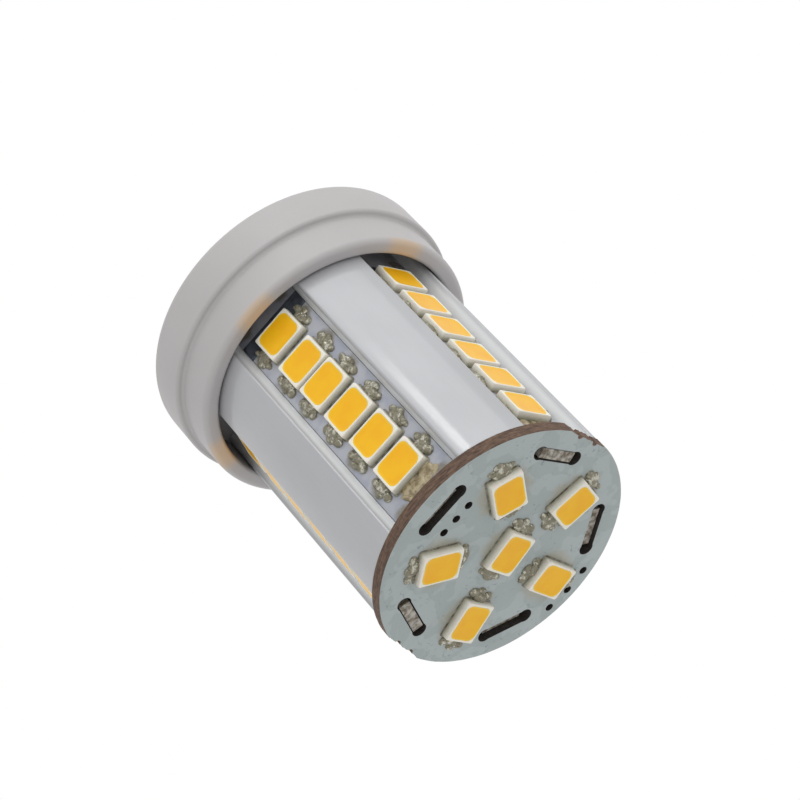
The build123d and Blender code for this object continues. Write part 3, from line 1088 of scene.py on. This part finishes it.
@dataclass
class BaseHousing:
    """The moulded collar, with its plug block and the posts inside it."""

    row_angles: Sequence[float]
    spigot_radius: float = 11.93 * MM
    collar_bore: float = 10.6 * MM
    cavity_radius: float = 7.38 * MM
    cavity_floor: float = 3.3 * MM
    shoulder_z: float = 6.95 * MM
    flange_back_z: float = 3.0 * MM
    cone_small: float = 8.656 * MM
    cone_large: float = 10.71 * MM
    plug_depth: float = 1.8 * MM
    plug_half: tuple[float, float] = (7.175 * MM, 3.2 * MM)
    plug_corner: float = 1.6 * MM
    back_round: float = 0.7 * MM
    front_round: float = 0.3 * MM
    spigot_round: float = 0.5 * MM
    bore_round: float = 0.3 * MM
    shoulder_fillet: float = 0.25 * MM
    post_place: float = 5.075 * MM
    post_half: tuple[float, float] = (1.0 * MM, 1.5 * MM)
    post_top: float = 9.1 * MM
    board_foot: float = 6.7 * MM
    board_half: tuple[float, float] = (7.6 * MM, 0.6 * MM)
    leg_places: tuple[float, ...] = (-5.9 * MM, -3.1 * MM, 3.1 * MM, 5.9 * MM)
    leg_hole: float = 0.505 * MM
    bite: float = 0.5 * MM
    plug_round: float = 0.4 * MM
    hole_steps: int = 24
    steps: int = 160

    def profile(self, flange_radius: float, front: float, seat: float) -> list[Vector]:
        """Trace the turned cup's section, with every edge rounded.

        Args:
            flange_radius: the radius of the flange.
            front: the height of the collar's front.
            seat: the height of the core's seat.

        Returns:
            The points (radius, height) from the middle of the back round to the middle of the floor.
        """
        back, edge, lip, mouth = self.back_round, self.front_round, self.spigot_round, self.bore_round
        return [
            Vector((0, self.plug_depth)),
            Vector((self.cone_small, self.plug_depth)),
            Vector((self.cone_large, self.flange_back_z)),
            *arc((flange_radius - back, self.flange_back_z + back), back, -90, 0, 8),
            *arc((flange_radius - edge, self.shoulder_z - edge), edge, 0, 90, 6),
            *arc((self.spigot_radius + self.shoulder_fillet, self.shoulder_z + self.shoulder_fillet),
                 self.shoulder_fillet, 270, 180, 5),
            *arc((self.spigot_radius - lip, front - lip), lip, 0, 90, 8),
            *arc((self.collar_bore + mouth, front - mouth), mouth, 90, 180, 5),
            Vector((self.collar_bore, seat)),
            Vector((self.cavity_radius, seat)),
            Vector((self.cavity_radius, self.cavity_floor)),
            Vector((0, self.cavity_floor)),
        ]

    def turned(self, profile: Sequence[Vector]) -> bpy.types.Object:
        """Turn a section round the axis.

        Args:
            profile: its points (radius, height).

        Returns:
            The new object.
        """
        points, faces = [], []
        for step in range(self.steps):
            turn = 2 * math.pi * step / self.steps
            points += [(p.x * math.cos(turn), p.x * math.sin(turn), p.y) for p in profile]
        count = len(profile)
        for step in range(self.steps):
            this, following = step * count, (step + 1) % self.steps * count
            for level in range(count - 1):
                corners = (this + level, following + level, following + level + 1, this + level + 1)
                if profile[level].x == 0:
                    corners = (corners[0], corners[2], corners[3])
                elif profile[level + 1].x == 0:
                    corners = (corners[0], corners[1], corners[2])
                faces.append(corners)
        return mesh_object("collar_moulding", points, faces)

    def cutters(self) -> Iterable[tuple[str, bpy.types.Object]]:
        """Make what is joined to the turned cup and cut from it, in order.

        Yields:
            The kind of cut and the object that makes it.
        """
        block = rounded_rectangle(*self.plug_half, self.plug_corner, 6)
        floor, top, bite = self.cavity_floor, self.post_top, self.bite
        yield "UNION", plate("plug_block", block, [], 0.0, floor - 1.5 * bite, self.plug_round, 3)
        outline = rounded_rectangle(*self.post_half, 0.15 * MM, 2)
        for side in (-1, 1):
            post = [p + Vector((side * self.post_place, 0)) for p in outline]
            yield "UNION", plate("post", post, [], floor - bite, top, 0.05 * MM, 1)
        slot = rounded_rectangle(*self.board_half, 0.05 * MM, 1)
        yield "DIFFERENCE", plate("board_slot", slot, [], self.board_foot, top + 2 * bite, 0.02 * MM, 1)
        for place in self.leg_places:
            hole = circle((place, 0), self.leg_hole, self.hole_steps)
            yield "DIFFERENCE", plate("leg_hole", hole, [], -2 * bite, floor + bite, 0.02 * MM, 1)

    def build(self) -> bpy.types.Object:
        """Build the housing round the axis, at its CAD node's height."""
        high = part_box("base_housing")[1]
        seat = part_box("heat_sink_core")[0].z
        piece = self.turned(self.profile(max(high.x, high.y), high.z, seat))
        for kind, tool in self.cutters():
            modifier = piece.modifiers.new("cut", "BOOLEAN")
            modifier.operation, modifier.object, modifier.solver = kind, tool, "EXACT"
            solid = piece.evaluated_get(bpy.context.evaluated_depsgraph_get())
            mesh = bpy.data.meshes.new_from_object(solid)
            piece.modifiers.clear()
            piece.data = mesh
            bpy.data.objects.remove(tool)
        tidy_normals(piece.data)
        soften(piece, 28)
        return dress(piece, MouldedPlastic(high.z, tuple(self.row_angles)), "housing_plastic", "base_housing")


@dataclass
class DiodeKit:
    """One diode package and its fill, which are copied to every place."""

    length: float = 3.5 * MM
    width: float = 2.8 * MM
    height: float = 0.72 * MM
    window_length: float = 3.05 * MM
    window_width: float = 2.45 * MM
    window_corner: float = 0.55 * MM
    fill_dip: float = 0.05 * MM
    pocket_depth: float = 0.3 * MM
    draft: float = 0.06 * MM
    corner: float = 0.14 * MM
    ease: float = 0.05 * MM
    foot_line_reach: float = 0.12 * MM
    pocket_taper: float = 0.12 * MM
    fill_creep: float = 0.035 * MM
    fill_rings: tuple[tuple[float, float, float], ...] = (
        (0.93, 0.012, 0.7), (0.8, -0.005, 0.4), (0.55, -0.012, 0.1), (0.25, -0.015, 0.0),
    )

    def package(self) -> bpy.types.Object:
        """Build the white package with its pocket."""
        x, y, top = self.length / 2, self.width / 2, self.height
        wx, wy, corner = self.window_length / 2, self.window_width / 2, self.window_corner
        draft, ease, deep = self.draft, self.ease, self.pocket_depth
        return ring_stack("package", [
            (x - draft / 2, y - draft / 2, self.corner, 0, 0.0),
            (x, y, self.corner, top * 0.35, 0.3),
            (x - draft / 2, y - draft / 2, self.corner, top - ease * 1.5, 0.85),
            (x - draft / 2 - ease * 0.4, y - draft / 2 - ease * 0.4, self.corner, top - ease * 0.4, 0.97),
            (x - draft / 2 - ease, y - draft / 2 - ease, self.corner, top, 1.0),
            (wx + ease * 0.5, wy + ease * 0.5, corner, top, 1.0),
            (wx, wy, corner, top - ease * 0.5, 1.0),
            (wx - self.pocket_taper, wy - self.pocket_taper, corner, top - deep, 1.0),
        ])

    def skirt(self) -> bpy.types.Object:
        """Build the thin dark line that creeps out from under the package."""
        x, y, out = self.length / 2, self.width / 2, self.foot_line_reach
        return ring_stack("skirt", [
            (x + out, y + out, self.corner + out, -0.01 * MM, 0.0),
            (x + out, y + out, self.corner + out, 0.02 * MM, 0.0),
            (x - out, y - out, self.corner, 0.06 * MM, 1.0),
        ])

    def fill(self) -> bpy.types.Object:
        """Build the silicone fill, which creeps up at its rim and sags towards its middle."""
        wx, wy, corner = self.window_length / 2, self.window_width / 2, self.window_corner
        top = self.height - self.fill_dip
        low = self.height - self.pocket_depth
        rings = [(wx - self.pocket_taper, wy - self.pocket_taper, corner, low, 1.0),
                 (wx, wy, corner, top + self.fill_creep, 1.0)]
        rings += [(wx * share, wy * share, corner * share, top + dip * MM, rise)
                  for share, dip, rise in self.fill_rings]
        return ring_stack("fill", rings)


@dataclass
class DiodeGroup:
    """The diodes of one board, with their fills and solder."""

    name: str
    places: Sequence[tuple[float, float, float]]
    surface: Matrix
    nodes: tuple[str, str, str]
    seed: int
    kit: DiodeKit = field(default_factory=DiodeKit)
    askew: float = math.radians(0.8)
    # A thin dark line round the foot of each package.
    dark_foot_line: PlainFinish = PlainFinish("dark_foot_line", srgb(146, 144, 132), srgb(86, 80, 66), 0.5 * MM, 0.4)
    joint_out: float = 2.0 * MM
    joint: Heap = Heap(0.62 * MM, 0.85 * MM, 0.38 * MM, 0.3, 0.3 * MM, 0.3 * MM, 5)
    crumb: Heap = Heap(0.3224 * MM, 0.442 * MM, 0.27056 * MM, 0.3, 0.2 * MM, 0.3 * MM, 4)
    crumb_places: tuple[tuple[float, float], ...] = ((0.3, 0.78), (0.22, -0.74), (0.55, 0.15))
    seed_step: int = 40

    def joints(self, out: float = 0.0, across: float = 0.0) -> list[tuple[float, float, float]]:
        """The places of solder, one at each end of each diode.

        Args:
            out: how far beyond the joint's middle.
            across: how far to its side.

        Returns:
            x, y and turn of each place.
        """
        places = []
        for x, y, turn in self.places:
            for side in (-1, 1):
                reach = side * (self.joint_out + out)
                places.append((x + reach * math.cos(turn) - side * across * math.sin(turn),
                               y + reach * math.sin(turn) + side * across * math.cos(turn), turn))
        return places

    def solder(self, lumps: Pattern) -> None:
        """Build the solder: a lump at each end of each diode, with smaller ones round it.

        Args:
            lumps: the tree that sets lumps on places.
        """
        finish = SolderFinish()
        crumbs = [place for out, across in self.crumb_places for place in self.joints(out * MM, across * MM)]
        kinds = ((self.joint, self.joints()), (self.crumb, crumbs))
        heaps = [heap.lay(lumps, f"{self.name}_solder_{number}", places, self.seed + self.seed_step * number,
                          finish, self.surface)
                 for number, (heap, places) in enumerate(kinds)]
        work = bmesh.new()
        for heap in heaps:
            work.from_mesh(heap.data)
        joined = bpy.data.meshes.new(f"{self.name}_joints")
        work.to_mesh(joined)
        work.free()
        joined.materials.append(finish.material())
        joined.polygons.foreach_set("use_smooth", [True] * len(joined.polygons))
        for heap in heaps:
            bpy.data.objects.remove(heap)
        dress(placed(f"{self.name}_joints", joined), finish, "solder", self.nodes[2])

    def build(self, copies: Pattern, lumps: Pattern) -> None:
        """Build the group's three pieces.

        Args:
            copies: the tree that sets copies on places.
            lumps: the tree that sets lumps on places.
        """
        shapes = (("packages", self.kit.package(), DiodePlastic(), "diode_white", self.nodes[:1]),
                  ("fills", self.kit.fill(), PhosphorFill(), "phosphor_amber", self.nodes[1:2]),
                  ("skirts", self.kit.skirt(), self.dark_foot_line, "solder", ()))
        for suffix, shape, finish, slot, nodes in shapes:
            values = {"Shape": shape, "Askew": self.askew, "Seed": self.seed, "Finish": finish.material()}
            carrier = points_mesh(f"{self.name}_{suffix}_places", self.places)
            piece = copies.run(f"{self.name}_{suffix}", carrier, values, self.surface)
            piece.data.set_sharp_from_angle(angle=math.radians(50))
            dress(piece, finish, slot, *nodes)
            bpy.data.objects.remove(shape)
        self.solder(lumps)


@dataclass
class RowBoard:
    """One row board, in its channel, with its tab through the end board."""

    number: int
    angle: float
    diode_heights: Sequence[float]
    pitch: float
    drifts: Sequence[tuple[float, float]]
    glued: bool
    half_width: float = 3.02 * MM
    tab_half: float = 1.65 * MM
    floor: float = 7.88 * MM
    thickness: float = 0.9 * MM
    ease: float = 0.05 * MM
    joint_reach: float = 2.1 * MM
    bead_sunk: float = 0.8 * MM
    bead_reach: tuple[float, float] = (0.62 * MM, 0.12 * MM)
    bead_steps: tuple[float, ...] = (1.0, 0.6, 0.2, -0.2, -0.6, -1.0)
    bead_thickness: float = 0.12 * MM
    overlap: float = 0.02 * MM
    smear_count: int = 26
    smear_sides: tuple[float, float] = (-1.5, 1.3)
    smear_gaps: tuple[float, float] = (1.6 * MM, 0.3 * MM)
    smear: Heap = Heap(0.7 * MM, 0.35 * MM, 0.13 * MM, 0.45, 0.14 * MM, 0.4 * MM, 4)
    cut_edge: PlainFinish = PlainFinish("sawn_board_edge", srgb(176, 172, 162), srgb(92, 80, 64), 0.5 * MM,
                                        0.6)
    # A dark sheet of painted shadow for the shade in each channel at the collar.
    painted_shadow: PlainFinish = PlainFinish("painted_collar_shadow", srgb(46, 50, 58), srgb(72, 78, 88), 0.8 * MM, 0.5)

    def surface(self, out: float) -> Matrix:
        """The plane of the row at a distance from the axis: x across, y up the axis, z outwards."""
        up, outwards = Vector((0, 0, 1)), heading(self.angle)
        columns = Matrix((up.cross(outwards), up, outwards)).transposed().to_4x4()
        return Matrix.Translation(outwards * out) @ columns

    def board(self) -> bpy.types.Object:
        """Build the board with its flat chart for the finish."""
        node = f"row_board_{self.number}"
        low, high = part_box(node)
        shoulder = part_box("heat_sink_core")[1].z
        w, t = self.half_width, self.tab_half
        outline = [Vector(p) for p in ((-w, low.z), (w, low.z), (w, shoulder), (t, shoulder), (t, high.z),
                                       (-t, high.z), (-t, shoulder), (-w, shoulder))]
        piece = plate(f"row_{self.number}_board", outline, [], 0.0, self.thickness, self.ease, 2)
        chart = piece.data.uv_layers.new(name="row")
        for loop in piece.data.loops:
            place = piece.data.vertices[loop.vertex_index].co
            chart.data[loop.index].uv = (place.x, place.y)
        mask = RowBoardMask(self.diode_heights[0], self.pitch, self.joint_reach)
        part_faces(piece, mask, self.cut_edge)
        piece.data.transform(self.surface(self.floor))
        soften(piece, 40)
        return dress(piece, mask, "row_board_mask", node)

    def shadow_bead(self) -> None:
        """Build the dark bead of painted shadow that stands for the shade in the channel where it enters the
        collar.
        """
        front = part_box("base_housing")[1].z
        half = self.half_width + self.overlap
        reach, bow = self.bead_reach
        outline = [Vector((side * half, front - self.bead_sunk)) for side in (-1, 1)]
        outline += [Vector((half * share, front + reach + bow * share ** 2)) for share in self.bead_steps]
        piece = plate(f"row_{self.number}_seal", outline, [], 0.0, self.bead_thickness, 0.03 * MM, 1)
        piece.data.transform(self.surface(self.floor + self.thickness - self.overlap))
        soften(piece, 40)
        dress(piece, self.painted_shadow, "package_black")

    def residue(self, lumps: Pattern) -> None:
        """Build the smears of glue between the first diode and the end board.

        Args:
            lumps: the tree that sets lumps on places.
        """
        pick = random.Random(100 + self.number)
        top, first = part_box("heat_sink_core")[1].z, self.diode_heights[0]
        past_diode, below_board = self.smear_gaps
        places = [(pick.uniform(*self.smear_sides) * MM, pick.uniform(first + past_diode, top - below_board),
                   pick.uniform(0, math.pi)) for _ in range(self.smear_count)]
        finish = FluxResidue()
        surface = self.surface(self.floor + self.thickness)
        piece = self.smear.lay(lumps, f"row_{self.number}_residue", places, self.number, finish, surface)
        dress(piece, finish, "solder")

    def build(self, copies: Pattern, lumps: Pattern) -> None:
        """Build the board and what is on it.

        Args:
            copies: the tree that sets copies on places.
            lumps: the tree that sets lumps on places.
        """
        self.board()
        # The dark bead of painted shadow at the collar.
        self.shadow_bead()
        if self.glued:
            self.residue(lumps)
        places = [(across * MM, height + up * MM, 0.0)
                  for height, (across, up) in zip(self.diode_heights, self.drifts)]
        group = DiodeGroup(
            f"row_{self.number}",
            places,
            self.surface(self.floor + self.thickness),
            (f"row_diodes_{self.number}", f"row_phosphors_{self.number}", f"row_solder_{self.number}"),
            self.number,
        )
        group.build(copies, lumps)


@dataclass
class EndBoard:
    """The round end board, with its slots, holes and broken-off flats."""

    row_angles: Sequence[float]
    places: Sequence[tuple[float, float, float]]
    slot_distance: float = 8.33 * MM
    slot_half_length: float = 1.78 * MM
    slot_half_width: float = 0.53 * MM
    slot_relief: float = 0.59 * MM
    via_radius: float = 0.32 * MM
    via_line_distance: float = 6.47 * MM
    via_line_pitch: float = 1.32 * MM
    via_arc_distance: float = 9.64 * MM
    via_arc_step: float = 11.4
    flat_angles: tuple[float, float] = (-4.5, 186.5)
    flat_depth: float = 0.21 * MM
    bite_radius: float = 0.25 * MM
    bite_offset: float = 0.925 * MM
    rim_depth: float = 0.5 * MM
    roughness: float = 0.05 * MM
    tear: float = 0.35 * MM
    saw_mark: float = 0.012 * MM
    saw_length: float = 0.6 * MM
    ease: float = 0.04 * MM
    steps: int = 720
    slot_steps: int = 14
    via_steps: int = 20
    seed: int = 11
    # Painted shade: a dark colour for the walls of the holes and slots.
    painted_hole_shade: PlainFinish = PlainFinish("painted_hole_shade", srgb(52, 46, 42), srgb(34, 30, 28), 0.3 * MM, 0.7)

    def edge(self, radius: float) -> list[Vector]:
        """Trace the board's edge, ragged where it was broken off.

        Args:
            radius: the board's radius.

        Returns:
            The points, anticlockwise.
        """
        reach = radius - self.flat_depth
        points = []
        for step in range(self.steps):
            turn = 2 * math.pi * step / self.steps
            point = Vector((math.cos(turn), math.sin(turn))) * radius
            sawn = noise.noise(Vector((point.x, point.y, 0)) / self.saw_length) * self.saw_mark
            for angle in self.flat_angles:
                out = heading(angle).xy
                over = point.dot(out) - reach
                if over > 0:
                    torn = noise.fractal(Vector((point.x, point.y, 1)) / self.tear, 1.0, 2.0, 3)
                    off = abs(point.x * out.y - point.y * out.x) - self.bite_offset
                    bite = math.sqrt(max(0.0, self.bite_radius ** 2 - off ** 2))
                    point -= out * (over + bite + self.roughness * (1 + torn))
            points.append(point * (1 + (sawn - self.saw_mark) / radius))
        return points

    def slot(self, angle: float) -> list[Vector]:
        """Trace a slot with its rounder ends.

        Args:
            angle: where it is round the board, in degrees.

        Returns:
            The points, anticlockwise.
        """
        reach, half, relief = self.slot_half_length, self.slot_half_width, self.slot_relief
        meet = math.degrees(math.asin(half / relief))
        top = arc((0, reach), relief, meet - 90, 270 - meet, self.slot_steps)
        bottom = arc((0, -reach), relief, 90 + meet, 450 - meet, self.slot_steps)
        return [spin(angle) @ (p + Vector((self.slot_distance, 0))) for p in top + bottom]

    def holes(self) -> list[list[Vector]]:
        """Trace every slot and small hole."""
        found = [self.slot(angle) for angle in self.row_angles]
        first = self.row_angles[0]
        for step in (-1, 0, 1):
            centre = spin(first) @ Vector((self.via_line_distance, step * self.via_line_pitch))
            found.append(circle(centre, self.via_radius, self.via_steps))
            centre = heading(first + 180 + step * self.via_arc_step).xy * self.via_arc_distance
            found.append(circle(centre, self.via_radius, self.via_steps))
        return found

    def build(self, copies: Pattern, lumps: Pattern) -> None:
        """Build the board and its diodes.

        Args:
            copies: the tree that sets copies on places.
            lumps: the tree that sets lumps on places.
        """
        low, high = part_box("end_board")
        radius = max(high.y, -low.y)
        piece = plate("end_board_disc", self.edge(radius), self.holes(), low.z, high.z, self.ease, 2)
        mask = EndBoardMask(tuple((x, y) for x, y, _ in self.places))
        part_faces(piece, mask, Laminate(), self.painted_hole_shade)
        # The walls of the holes and slots wear the painted shade.
        for face in piece.data.polygons:
            if face.material_index == 1 and face.center.xy.length < radius - self.rim_depth:
                face.material_index = 2
        soften(piece, 40)
        dress(piece, mask, "end_board_mask", "end_board")
        surface = Matrix.Translation((0, 0, high.z))
        nodes = ("end_diodes", "end_phosphors", "end_solder")
        DiodeGroup("end", self.places, surface, nodes, self.seed, askew=0.0).build(copies, lumps)


@dataclass
class ContactLoops:
    """The two wire loops of the plug."""

    pitch: float = 9.0 * MM
    spacing: float = 2.8 * MM
    radius: float = 0.475 * MM
    sides: int = 32
    bend_steps: int = 24
    blind_height: float = 2.7 * MM
    finish: PlainFinish = PlainFinish("nickel_wire", srgb(196, 194, 188), srgb(176, 173, 165), 0.4 * MM, 0.3,
                                      0.95, 0.004 * MM, (1.0, 1.0, 0.1))

    def build(self, wire: Pattern) -> None:
        """Build both loops between the ends of their CAD nodes.

        Args:
            wire: the tree that turns a path into a wire.
        """
        for number, side in ((1, -1), (2, 1)):
            low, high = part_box(f"contact_loop_{number}")
            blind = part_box("base_housing")[0].z + self.blind_height
            bend = low.z + self.radius + self.spacing / 2
            path = [Vector((-side * self.spacing / 2, high.z))]
            path += arc((0, bend), self.spacing / 2, 180 if side > 0 else 0, 360 if side > 0 else -180,
                        self.bend_steps)
            path.append(Vector((side * self.spacing / 2, blind)))
            curve = bpy.data.curves.new(f"loop_{number}_path", "CURVE")
            curve.dimensions = "3D"
            spline = curve.splines.new("POLY")
            spline.points.add(len(path) - 1)
            for point, place in zip(spline.points, path):
                point.co = (side * self.pitch / 2 + place.x, 0, place.y, 1)
            values = {"Wire radius": self.radius, "Sides": self.sides, "Finish": self.finish.material()}
            piece = wire.run(f"loop_{number}_wire", curve, values)
            piece.data.set_sharp_from_angle(angle=math.radians(50))
            dress(piece, self.finish, "contact_wire", f"contact_loop_{number}")


@dataclass
class Studio:
    """The camera, the soft light and the white floor."""

    aim: tuple[float, float, float] = (-1.8700 * MM, 0.2759 * MM, -16.9440 * MM)
    distance: float = 215.09 * MM
    azimuth: float = -98.391
    elevation: float = 39.669
    roll: float = 137.12
    lens: float = 125.918
    ambient: float = 0.8
    lamps: tuple[tuple[float, float, float, float, float], ...] = (
        (-140.0, -20.0, 0.92, 0.5, 0.5), (-131.6, -33.5, 0.1, 0.05, 0.09),
    )
    lamp_distance: float = 0.5
    floor_drop: float = 0.06
    floor_size: float = 4.0

    def camera(self, end_face: float) -> None:
        """Set up the camera at the photo's angle.

        Args:
            end_face: the height of the end board's face.
        """
        back = heading(self.azimuth, self.elevation)
        right = Vector((0, 0, 1)).cross(back).normalized()
        turn = Matrix((right, back.cross(right), back)).transposed().to_4x4()
        data = bpy.data.cameras.new("studio_camera")
        data.lens = self.lens
        data.clip_start, data.clip_end = 0.01, 10.0
        place = Vector(self.aim) + Vector((0, 0, end_face)) + back * self.distance
        roll = Matrix.Rotation(math.radians(self.roll), 4, "Z")
        bpy.context.scene.camera = placed("studio_camera", data, Matrix.Translation(place) @ turn @ roll)

    def world(self) -> None:
        """Light the scene evenly, and show white to the camera and in reflections."""
        world = bpy.data.worlds.new("soft_white")
        bpy.context.scene.world = world
        world.use_nodes = True
        sky = Wiring(world.node_tree)
        world.node_tree.nodes.clear()
        plain = sky.add("ShaderNodeBackground", {"Color": (1, 1, 1), "Strength": self.ambient})
        white = sky.add("ShaderNodeBackground", {"Color": (1, 1, 1), "Strength": 1.0})
        shown = sky.seen_plainly()
        mix = sky.add("ShaderNodeMixShader", {0: shown, 1: plain.outputs[0], 2: white.outputs[0]})
        sky.add("ShaderNodeOutputWorld", {"Surface": mix.outputs[0]})

    def lamp(self, middle: Vector, azimuth: float, elevation: float, power: float, width: float,
             height: float) -> None:
        """Hang a flat lamp that faces the bulb's middle.

        Args:
            middle: what it points at.
            azimuth: its direction round the axis in degrees.
            elevation: its direction above the horizontal in degrees.
            power: its power in watts.
            width: its width.
            height: its height.
        """
        data = bpy.data.lights.new("soft_lamp", "AREA")
        data.shape, data.energy, data.size, data.size_y = "RECTANGLE", power, width, height
        out = heading(azimuth, elevation)
        turn = out.to_track_quat("Z", "Y").to_matrix().to_4x4()
        placed("soft_lamp", data, Matrix.Translation(middle + out * self.lamp_distance) @ turn)

    def floor(self, height: float) -> None:
        """Lay a plain white floor under the bulb.

        Args:
            height: the floor's height.
        """
        half = self.floor_size / 2
        corners = [(x, y, height) for x, y in ((-half, -half), (half, -half), (half, half), (-half, half))]
        piece = mesh_object("studio_floor", corners, [(0, 1, 2, 3)])
        paint = Paint("studio_white")
        matt = paint.add("ShaderNodeBsdfDiffuse", {"Color": srgb(236, 236, 236)})
        glow = paint.add("ShaderNodeEmission", {"Color": (1, 1, 1), "Strength": 1.0})
        shown = paint.seen_plainly()
        mix = paint.add("ShaderNodeMixShader", {0: shown, 1: matt.outputs[0], 2: glow.outputs[0]})
        paint.add("ShaderNodeOutputMaterial", {"Surface": mix.outputs[0]})
        piece.data.materials.append(paint.material)
        piece.visible_shadow = False
        piece.visible_diffuse = False
        piece.visible_glossy = False
        piece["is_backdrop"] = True

    def build(self) -> None:
        """Set up the whole studio."""
        low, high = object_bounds()
        self.camera(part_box("end_board")[1].z)
        self.world()
        for settings in self.lamps:
            self.lamp((low + high) / 2, *settings)
        self.floor(low.z - self.floor_drop)
        bpy.context.scene.view_settings.view_transform = "Standard"


@dataclass
class CapsuleLamp:
    """The whole lamp and the layout that its boards share."""

    row_count: int = 5
    first_row_angle: float = -90.0
    diodes_per_row: int = 6
    diode_pitch: float = 3.39 * MM
    first_drop: float = 5.17 * MM
    end_ring: float = 6.22 * MM
    end_drifts: tuple[tuple[float, float, float], ...] = (
        (-0.42, -3.2, 9.2), (-0.04, -3.3, 11.5), (0.23, 0.8, 6.7), (0.18, 3.8, -6.9), (-0.32, 0.2, 2.7),
    )
    end_centre: tuple[float, float, float] = (-0.08 * MM, 0.4 * MM, math.radians(9.1))
    first_row_drifts: tuple[tuple[float, float], ...] = (
        (-0.06, 0.2), (-0.1, 0.1), (0.0, 0.07), (0.06, -0.03), (0.14, 0.3), (0.07, 0.08),
    )
    glued_rows: tuple[int, ...] = (1, 2)

    def row_angles(self) -> list[float]:
        """The angle that each row faces, in degrees."""
        return [self.first_row_angle - 360 / self.row_count * row for row in range(self.row_count)]

    def end_places(self) -> list[tuple[float, float, float]]:
        """The places of the end board's diodes, as they were set by hand."""
        places = [self.end_centre]
        for land, (drift_out, drift_round, skew) in enumerate(self.end_drifts):
            angle = self.first_row_angle - 360 / self.row_count * (land + 0.5) + drift_round
            distance = self.end_ring + drift_out * MM
            turn = math.radians(angle)
            places.append((distance * math.cos(turn), distance * math.sin(turn), math.radians(angle + skew)))
        return places

    def drifts(self, number: int) -> Sequence[tuple[float, float]]:
        """How far each diode of a row is off its place, across and up, in millimetres.

        The first row's drifts are read from the photo. The others are made up, drawn from a fixed seed.

        Args:
            number: the row's number.

        Returns:
            The pairs from the first diode to the last.
        """
        if number == 1:
            return self.first_row_drifts
        pick = random.Random(number)
        return [(pick.uniform(-0.08, 0.08), pick.uniform(-0.1, 0.1)) for _ in range(self.diodes_per_row)]

    def build(self) -> None:
        """Build every sub-assembly in order."""
        copies, lumps, wire = stamping(), lumping(), wiring_up()
        angles = self.row_angles()
        HeatSinkCore(angles).build()
        BaseHousing(angles).build()
        ContactLoops().build(wire)
        end_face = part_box("end_board")[1].z
        heights = [end_face - self.first_drop - self.diode_pitch * step
                   for step in range(self.diodes_per_row)]
        for number, angle in enumerate(angles, start=1):
            row = RowBoard(number, angle, heights, self.diode_pitch, self.drifts(number),
                           number in self.glued_rows)
            row.build(copies, lumps)
        EndBoard(angles, self.end_places()).build(copies, lumps)
        for group in Hidden:
            for node in group.nodes:
                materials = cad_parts[node].data.materials
                materials.clear()
                materials.append(group.finish.material())
                log.info("%s wears %s", node, group.finish.name)


def main() -> None:
    """Build the lamp and the studio."""
    logging.basicConfig(level=logging.INFO, format="%(name)s: %(message)s")
    CapsuleLamp().build()
    Studio().build()


if __name__ == "__main__":
    main()
